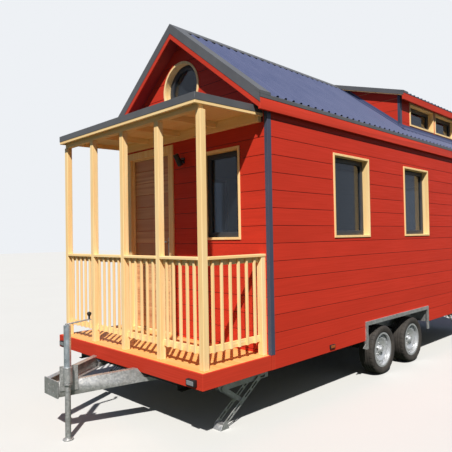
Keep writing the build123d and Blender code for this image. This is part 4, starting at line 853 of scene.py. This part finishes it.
def ridge_cap(start, end, pitch):
    """A cap folded over the ridge, with a lip that rests on the ribs each side."""
    top = RIDGE - FLASHING_STEEL
    low = top - RIDGE_LAP * math.tan(pitch)
    return folded(
        [
            (-RIDGE_LAP - 0.004, start, low - 0.012),
            (-RIDGE_LAP, start, low),
            (0, start, top),
            (RIDGE_LAP, start, low),
            (RIDGE_LAP + 0.004, start, low - 0.012),
        ],
        (0, end - start, 0), FLASHING_STEEL,
    )


roof_edges = []
for start, way in ((ROOF_FRONT, 1), (ROOF_REAR, -1)):
    roof_edges.append(verge(start, way, VERGE_FACE, EAVE, ROOF_PITCH))
roof_edges.append(drip(ROOF_FRONT, ROOF_REAR, DRIP_FACE, EAVE, ROOF_PITCH))
roof_edges = joined(roof_edges)
both_sides(roof_edges)
caps = [
    ridge_cap(ROOF_FRONT + CAP_FROM_VERGE, dormer_start, ROOF_PITCH),
    ridge_cap(dormer_end, ROOF_REAR - CAP_FROM_VERGE, ROOF_PITCH),
]
roof_edges = joined([roof_edges] + caps)
keep(roof_edges, "roof_edge_flashings", "house", "flashing", flashing_steel)
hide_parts("roof_flashings")

dormer_edges = []
for start, way in ((dormer_start, 1), (dormer_end, -1)):
    dormer_edges.append(verge(start, way, DORMER_VERGE_FACE, DORMER_EAVE, DORMER_PITCH))
dormer_edges.append(drip(dormer_start, dormer_end, DORMER_DRIP_FACE, DORMER_EAVE, DORMER_PITCH))
dormer_edges = joined(dormer_edges)
both_sides(dormer_edges)
dormer_edges = joined([dormer_edges, ridge_cap(dormer_start, dormer_end, DORMER_PITCH)])
keep(dormer_edges, "dormer_edge_flashings", "house", "flashing", flashing_steel)
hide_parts("dormer_flashings")

# Angles that seal the dormer's foot: up the cheeks, from a little below the ridge, and along
# under the windows
ANGLE_START = 0.03
ANGLE_LEG = 0.060
ANGLE_PAST_WALL = 0.06
soakers = []
for start, way in ((DORMER_FRONT - BOARD_PROUD, -1), (DORMER_REAR + BOARD_PROUD, 1)):
    angle = folded(
        [
            (ANGLE_START, start + way * 0.001, SHEET_DROP + 0.032),
            (ANGLE_START, start + way * 0.001, SHEET_DROP - 0.001),
            (ANGLE_START, start + way * ANGLE_LEG, SHEET_DROP - 0.001),
            (ANGLE_START, start + way * ANGLE_LEG, SHEET_DROP - 0.010),
        ],
        (DORMER_FACE / math.cos(ROOF_PITCH) + 0.02, 0, 0), FLASHING_STEEL,
    )
    on_slope(angle, ROOF_PITCH)
    soakers.append(angle)
foot = DORMER_FACE + BOARD_PROUD + 0.001
foot_top = RIDGE - foot * math.tan(ROOF_PITCH)
soakers.append(folded(
    [
        (foot, DORMER_FRONT - ANGLE_PAST_WALL, foot_top + 0.030),
        (foot, DORMER_FRONT - ANGLE_PAST_WALL, foot_top),
        (foot + 0.070, DORMER_FRONT - ANGLE_PAST_WALL, foot_top - 0.070 * math.tan(ROOF_PITCH)),
        (foot + 0.072, DORMER_FRONT - ANGLE_PAST_WALL, foot_top - 0.084 * math.tan(ROOF_PITCH)),
    ],
    (0, DORMER_REAR - DORMER_FRONT + 2 * ANGLE_PAST_WALL, 0), FLASHING_STEEL,
))
soakers = joined(soakers)
both_sides(soakers)
keep(soakers, "dormer_foot_flashings", "house", "flashing", roof_steel)

# Porch roof: ribbed sheet inside its folded edge
PORCH_FALL = math.radians(1.5)
PORCH_ROOF_TOP = 2.848
PORCH_SHEET_HALF = 1.08
PORCH_SHEET_FRONT = 0.045
PORCH_SHEET_REAR = 0.830
porch_sheet = ribbed_sheet(
    -PORCH_SHEET_HALF, PORCH_SHEET_HALF, -8 * RIB_PITCH, PORCH_SHEET_FRONT, PORCH_SHEET_REAR
)
porch_sheet.rotation_euler = (0, 0, math.radians(90))
fixed(porch_sheet)
porch_sheet.rotation_euler = (PORCH_FALL, 0, 0)
porch_sheet.location = (0, SKIRT_FRONT, PORCH_ROOF_TOP)
keep(porch_sheet, "profiled_porch_sheet", "house", "roof_sheet", roof_steel)
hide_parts("porch_roof_sheet")

# Porch deck boards
DECK_THICKNESS = 0.028
DECK_GAP = 0.005
deck_start = SKIRT_FRONT + 0.022
deck_count = 6
deck_step = (FRONT_FACE + 0.022 - deck_start + DECK_GAP) / deck_count
deck_boards = block(
    (-PLATFORM_EDGE, deck_start, DECK_TOP - DECK_THICKNESS),
    (PLATFORM_EDGE, deck_start + deck_step - DECK_GAP, DECK_TOP), 0.002,
)
repeat(deck_boards, (0, deck_step, 0), deck_count)
keep(deck_boards, "porch_deck_boards", "house", "pine", deck_pine)
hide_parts("porch_deck")

# Porch posts and railings of planed pine, each bar a piece of its own
POST = 0.059
POST_FRONT = SKIRT_FRONT + 0.0605
POST_ROW = 1.137
BEAM_LOW = 2.722
CAP_LOW = DECK_TOP + 0.890
CAP_TOP = DECK_TOP + 0.916
POST_ARRIS = 0.003
BAYS = 4
bay = 2 * POST_ROW / BAYS
posts = block(
    (-POST_ROW - POST / 2, POST_FRONT, DECK_TOP),
    (-POST_ROW + POST / 2, POST_FRONT + POST, BEAM_LOW), POST_ARRIS,
)
repeat(posts, (bay, 0, 0), BAYS + 1)
short_post = block(
    (POST_ROW - POST / 2, FRONT_FACE - POST, DECK_TOP),
    (POST_ROW + POST / 2, FRONT_FACE, CAP_LOW), POST_ARRIS,
)
posts = joined([posts, short_post])
keep(posts, "porch_uprights", "house", "pine", pine_z)
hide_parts("porch_posts")

BAR_WIDTH = 0.024
BAR_DEPTH = 0.020
BAR_RECESS = 0.015
BAR_FROM_POST = 0.060
FRONT_BARS = 5
SIDE_BARS = 6
BAR_ARRIS = 0.002
RAIL = 0.022
BAR_LOW = DECK_TOP + 0.123
RAIL_LEVELS = ((BAR_LOW, DECK_TOP + 0.179), (CAP_LOW - 0.050, CAP_LOW))
CAP_WIDTH = 0.069
CAP_OUT = 0.005
front_clear = bay - POST
side_start = POST_FRONT + POST
side_end = FRONT_FACE - POST
side_face = POST_ROW + POST / 2
front_step = (front_clear - 2 * BAR_FROM_POST - BAR_WIDTH) / (FRONT_BARS - 1)
side_step = (side_end - side_start - 2 * BAR_FROM_POST - BAR_WIDTH) / (SIDE_BARS - 1)
bar_front = POST_FRONT + BAR_RECESS
bar_side = side_face - BAR_RECESS
uprights, front_rails, side_rails = [], [], []
for number in range(BAYS):
    left = -POST_ROW + POST / 2 + number * bay
    for low, high in RAIL_LEVELS:
        front_rails.append(block(
            (left, bar_front + BAR_DEPTH, low),
            (left + front_clear, bar_front + BAR_DEPTH + RAIL, high), BAR_ARRIS,
        ))
    front_rails.append(block(
        (left, POST_FRONT - CAP_OUT, CAP_LOW),
        (left + front_clear, POST_FRONT - CAP_OUT + CAP_WIDTH, CAP_TOP), POST_ARRIS,
    ))
    bars = block(
        (left + BAR_FROM_POST, bar_front, BAR_LOW),
        (left + BAR_FROM_POST + BAR_WIDTH, bar_front + BAR_DEPTH, CAP_LOW), BAR_ARRIS,
    )
    repeat(bars, (front_step, 0, 0), FRONT_BARS)
    uprights.append(bars)
for low, high in RAIL_LEVELS:
    side_rails.append(block(
        (bar_side - BAR_DEPTH - RAIL, side_start, low),
        (bar_side - BAR_DEPTH, side_end, high), BAR_ARRIS,
    ))
side_rails.append(block(
    (side_face + CAP_OUT - CAP_WIDTH, side_start, CAP_LOW),
    (side_face + CAP_OUT, FRONT_FACE, CAP_TOP), POST_ARRIS,
))
bars = block(
    (bar_side - BAR_DEPTH, side_start + BAR_FROM_POST, BAR_LOW),
    (bar_side, side_start + BAR_FROM_POST + BAR_WIDTH, CAP_LOW), BAR_ARRIS,
)
repeat(bars, (0, side_step, 0), SIDE_BARS)
uprights.append(bars)
groups = []
for group, material in ((uprights, pine_z), (front_rails, pine_x), (side_rails, pine_y)):
    piece = joined(group)
    piece.data.materials.append(material)
    groups.append(piece)
railings = joined(groups)
keep(railings, "porch_balustrade", "house", "pine")
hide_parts("porch_railings")

# Porch roof timbers
porch_frame = stands_for("porch_frame", "porch_roof_timbers", "house", "pine", pine_x, pine_y)
beam_rear = POST_FRONT + POST
ledger_front = FRONT_FACE - 0.045
finish_by_place(porch_frame, 1, lambda c: beam_rear + 0.01 < c.y < ledger_front - 0.01)
porch_fascia = stands_for("porch_fascia", "porch_roof_fascia", "house", "pine", pine_x, pine_y)
finish_by_place(
    porch_fascia, 1, lambda c: abs(c.x) > 1.14 and c.y > SKIRT_FRONT + 0.03
)

# Door: planks side by side with their joints open, and a dark tongue behind the joints
LEAF_X = (-0.965, -0.238)
LEAF_Y = (FRONT_FACE + 0.045, FRONT_FACE + 0.090)
LEAF_Z = (0.619, 2.623)
PLANKS = 14
PLANK_JOINT = 0.003
plank_step = (LEAF_Z[1] - LEAF_Z[0] + PLANK_JOINT) / PLANKS
planks = block(
    (LEAF_X[0], LEAF_Y[0], LEAF_Z[0]), (LEAF_X[1], LEAF_Y[1], LEAF_Z[0] + plank_step - PLANK_JOINT),
    0.0025,
)
repeat(planks, (0, 0, plank_step), PLANKS)
planks.data.materials.append(larch)
tongue = block(
    (LEAF_X[0] + 0.002, LEAF_Y[0] + 0.006, LEAF_Z[0] + 0.002),
    (LEAF_X[1] - 0.002, LEAF_Y[1] - 0.006, LEAF_Z[1] - 0.002), 0.001,
)
tongue.data.materials.append(red_edges)
door = joined([planks, tongue])
keep(door, "door_planks", "door", "pine")
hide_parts("door_leaf")

# Window and door surrounds, sashes, fascias and corner trims, with their arrises eased
stands_for("window_casings", "window_surrounds", "house", "pine", pine_z, pine_x)
surround = stands_for("door_frame", "door_surround", "house", "pine", pine_z, pine_x)
DOOR_HEAD = 2.628
DOOR_THRESHOLD = 0.615
finish_by_place(surround, 1, lambda c: c.z > DOOR_HEAD or c.z < DOOR_THRESHOLD)
stands_for("window_frames", "window_sashes", "house", "anthracite_sash", sash_paint,
           arris=0.005, segments=2)
stands_for("fascia_boards", "red_fascia_boards", "house", "red_boards", red_edges)
stands_for("corner_trims", "folded_corner_trims", "house", "anthracite_trim", trim_steel,
           arris=0.0015)
# The corner trims stop at the deck, and at the front a red board runs on below each
trim_feet = block(
    (WALL_FACE - 0.004, FRONT_FACE, PLATFORM_LOW),
    (WALL_FACE + BOARD_PROUD, FRONT_FACE + TRIM_LAP, DECK_TOP - 0.002), 0.001,
)
both_sides(trim_feet)
keep(trim_feet, "corner_foot_boards", "house", "red_boards", red_edges)
stands_for("porch_skirt", "porch_skirt_boards", "house", "red_boards", red_edges)
stands_for("porch_roof_edge", "porch_edge_flashing", "house", "flashing", flashing_steel,
           arris=0.001)

# Tyres: a moulded section spun round the hub, with grooves round and across the tread
TYRE_RADIUS = 0.290
TYRE_HALF = 0.093
BEAD_HALF = 0.071
RIM_LIP = 0.205
BEAD = 0.190
WHEEL_ROWS = (("front", -0.0025), ("rear", 0.7775))
WHEEL_X = 1.115
TREAD_STEPS = 96
GROOVES = ((-0.052, -0.043), (-0.022, -0.013), (0.013, 0.022), (0.043, 0.052))
GROOVE_DEPTH = 0.007
# The tread falls away a little outside the two middle grooves
CROWN_HALF = 0.04
CROWN_FALL = 0.002
section = [
    (BEAD_HALF, BEAD), (BEAD_HALF, RIM_LIP), (0.078, 0.212), (0.083, 0.214), (0.0885, 0.228),
    (TYRE_HALF, 0.247), (0.092, 0.262), (0.0885, 0.272), (0.083, 0.279), (0.076, 0.285),
]
shoulder_points = len(section)
for start, end in reversed(GROOVES):
    crown = abs(end) < CROWN_HALF or abs(start) < CROWN_HALF
    tread = TYRE_RADIUS if crown else TYRE_RADIUS - CROWN_FALL
    bottom = tread - GROOVE_DEPTH
    section += [(end, tread), (end - 0.001, bottom), (start + 0.001, bottom), (start, tread)]
section += [(-x, r) for x, r in reversed(section[:shoulder_points])]


def tyre(name, side, row, body, node):
    """One tyre at its place."""
    bpy.ops.mesh.primitive_circle_add(vertices=len(section), radius=0.1)
    piece = bpy.context.object
    for vertex, (x, radius) in zip(piece.data.vertices, section):
        vertex.co = (x, 0, radius)
    enter("EDIT")
    bpy.ops.mesh.select_all(action="SELECT")
    bpy.ops.mesh.spin(
        steps=TREAD_STEPS, angle=2 * math.pi, center=(0, 0, 0), axis=(1, 0, 0), dupli=False
    )
    bpy.ops.mesh.select_all(action="SELECT")
    bpy.ops.mesh.remove_doubles(threshold=0.00002)
    bpy.ops.mesh.normals_make_consistent(inside=False)
    bpy.ops.mesh.select_mode(type="FACE")
    bpy.ops.mesh.select_all(action="DESELECT")
    enter("OBJECT")
    for face in piece.data.polygons:
        middle = face.center
        step = round(math.atan2(middle.z, middle.y) * TREAD_STEPS / (2 * math.pi) - 0.5)
        reach = math.hypot(middle.y, middle.z)
        shoulder = abs(middle.x) > 0.053 and reach > 0.276
        face.select = shoulder and step % 3 == 0
    enter("EDIT")
    bpy.ops.mesh.inset(thickness=0.0015, depth=-0.004)
    bpy.ops.mesh.select_mode(type="VERT")
    enter("OBJECT")
    piece.location = (side * WHEEL_X, row, TYRE_RADIUS)
    smooth(piece, 30)
    keep(piece, name, body, "tyre_rubber", tyre_rubber)
    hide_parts(node)


WHEEL_BOLTS = 5
BOLT_CIRCLE = 0.066
BOLT_FACE = WHEEL_X + 0.029


def wheel_bolts(side, row):
    """Five bolts round the hub cap and the valve, as seen from outside."""
    pieces = []
    for number in range(WHEEL_BOLTS):
        angle = math.radians(90 + 360 / WHEEL_BOLTS * number)
        y = row + BOLT_CIRCLE * math.cos(angle)
        z = TYRE_RADIUS + BOLT_CIRCLE * math.sin(angle)
        face = side * BOLT_FACE
        pieces.append(rod((face, y, z), (face + side * 0.004, y, z), 0.0135, 20, 0.001))
        pieces.append(rod((face, y, z), (face + side * 0.017, y, z), 0.0095, 6, 0.0012))
    x = side * (WHEEL_X + 0.026)
    z = TYRE_RADIUS - 0.176
    pieces.append(rod((x, row, z), (x + side * 0.032, row, z + 0.006), 0.005, 12, 0.001))
    return joined(pieces)


for side, hand in ((1, "right"), (-1, "left")):
    for end, row in WHEEL_ROWS:
        body = f"wheel_{end}_{hand}"
        tyre(f"treaded_tyre_{end}_{hand}", side, row, body, f"tyre_{end}_{hand}")
        stands_for(f"rim_{end}_{hand}", f"pressed_rim_{end}_{hand}", body, "wheel_steel",
                   wheel_silver, arris=0.0012)
        bolts = wheel_bolts(side, row)
        smooth(bolts)
        keep(bolts, f"wheel_bolts_{end}_{hand}", body, "wheel_steel", bolt_zinc)

# Trailer steel with its arrises rounded as rolled sections are
for node, name, material, slot, arris in (
    ("drawbar_beams", "drawbar_channels", galvanised, "galvanised", 0.003),
    ("drawbar_nose", "drawbar_nose_plate", galvanised, "galvanised", 0.0015),
    ("wheel_boxes", "folded_wheel_boxes", galvanised, "galvanised", 0.001),
    ("steady_brackets", "steady_bracket_channels", galvanised, "galvanised", 0.001),
    ("chassis_frame", "chassis_rails", chassis_paint, "chassis_steel", 0.001),
    ("axles", "axle_tubes", chassis_paint, "chassis_steel", 0.002),
):
    stands_for(node, name, "house", slot, material, arris=arris)
for side, hand in ((1, "right"), (-1, "left")):
    for end in ("front", "rear"):
        for part in ("link", "arm"):
            node = f"steady_{part}_{end}_{hand}"
            stands_for(node, f"pressed_{node}", node, "galvanised", galvanised, arris=0.0008)

# Jack: zinc tube above the clamp, galvanised clamp below it
CLAMP_TOP = 0.6045
jack = stands_for("jack_tube", "jack_tube_and_clamp", "house", "galvanised", galvanised, jack_zinc,
                  arris=0.0012)
finish_by_place(jack, 1, lambda c: c.z > CLAMP_TOP)
stands_for("jack_leg", "jack_inner_leg", "jack_leg", "galvanised", galvanised, arris=0.0012)
stands_for("jack_crank", "jack_crank_arm", "jack_crank", "galvanised", galvanised, arris=0.002)
stands_for("crank_knob", "jack_crank_knob", "jack_crank", "black_plastic", black_plastic,
           arris=0.004, segments=3)
stands_for("door_fittings", "door_furniture", "door", "door_steel", stainless, arris=0.001)
stands_for("wall_lamp", "porch_wall_lamp", "house", "lamp_black", lamp_black, arris=0.0015)

# Marker lamps: a dark housing with a lens let into its face
stands_for("marker_lamps", "marker_lamp_housings", "house", "black_plastic", black_plastic,
           arris=0.004, segments=2)
lenses = []
for side in (1, -1):
    x = side * (WALL_FACE - 0.118)
    lens = block((x - 0.042, SKIRT_FRONT - 0.036, 0.503), (x + 0.042, SKIRT_FRONT - 0.030, 0.541),
                 0.003)
    lens.data.materials.append(clear_lens)
    lenses.append(lens)
    y = SKIRT_FRONT + 1.800
    outer = side * (WALL_FACE + 0.022)
    lens = block((outer - side * 0.006, y - 0.036, 0.508), (outer, y + 0.036, 0.536), 0.002)
    lens.data.materials.append(amber_lens)
    lenses.append(lens)
lenses = joined(lenses)
keep(lenses, "marker_lamp_lenses", "house", "black_plastic")

# Finishes of the CAD nodes that stay as they are
for node, material in (
    ("platform_floor", pine_y),
    ("porch_roof", pine_x),
    ("front_wall_left", wall_core),
    ("front_wall_right", wall_core),
    ("front_wall_top", wall_core),
    ("rear_wall", wall_core),
    ("side_walls", wall_core),
    ("dormer_walls", wall_core),
    ("roof_left", roof_core),
    ("roof_right", roof_core),
    ("dormer_roof", roof_core),
    ("window_glass", pane),
):
    for place in frame["nodes"][node].material_slots:
        place.material = material

# Floor, world and lamps
bpy.ops.mesh.primitive_plane_add(size=120)
floor = bpy.context.object
floor.name = "studio_floor"
paint, floor_tree, floor_shader, floor_place = finish_named("pale_studio_floor")
# Pale to the camera, and as dull as a lawn to what it lights, so that shade stays deep
seen = add(floor_tree, "ShaderNodeLightPath").outputs["Is Camera Ray"]
dapple = speckle(floor_tree, floor_place, (1.5, 1.5, 1.5), 2.0)
pale = blended(floor_tree, dapple, "D2D2D0", "D6D6D4")
floor_tree.links.new(blended(floor_tree, seen, "4C5649", pale), floor_shader.inputs["Base Color"])
floor_shader.inputs["Roughness"].default_value = 0.9
floor_shader.inputs["Specular IOR Level"].default_value = 0.1
floor.data.materials.append(paint)

world = bpy.data.worlds.new("studio")
bpy.context.scene.world = world
world.use_nodes = True
rays = add(world.node_tree, "ShaderNodeLightPath").outputs
# Reflections see part of the backdrop's brightness, the camera sees all of it
REFLECTED_SHARE = 0.45
SKY_STRENGTH = 0.22
plain = reckoned(world.node_tree, "MULTIPLY", rays["Is Glossy Ray"], REFLECTED_SHARE)
for kind in ("Is Camera Ray", "Is Transmission Ray"):
    plain = reckoned(world.node_tree, "MAXIMUM", plain, rays[kind])
ground = world.node_tree.nodes["Background"]
# The sky lights the shade a little blue, and its backdrop is a plain pale grey
sky = blended(world.node_tree, plain, "B4C6EA", "EEF1F5")
world.node_tree.links.new(sky, ground.inputs["Color"])
strength = add(world.node_tree, "ShaderNodeMapRange", {"To Min": SKY_STRENGTH, "To Max": 1.0},
               {"Value": plain})
world.node_tree.links.new(strength.outputs["Result"], ground.inputs["Strength"])

sun = bpy.data.objects.new("sun", bpy.data.lights.new("sun", "SUN"))
bpy.context.scene.collection.objects.link(sun)
sun.data.energy = 5.35
sun.data.angle = math.radians(1)
sun.data.color = (1.0, 0.97, 0.92)
SUN_TO = Vector((0.472, -0.478, 0.741))
sun.rotation_euler = SUN_TO.to_track_quat("Z", "Y").to_euler()
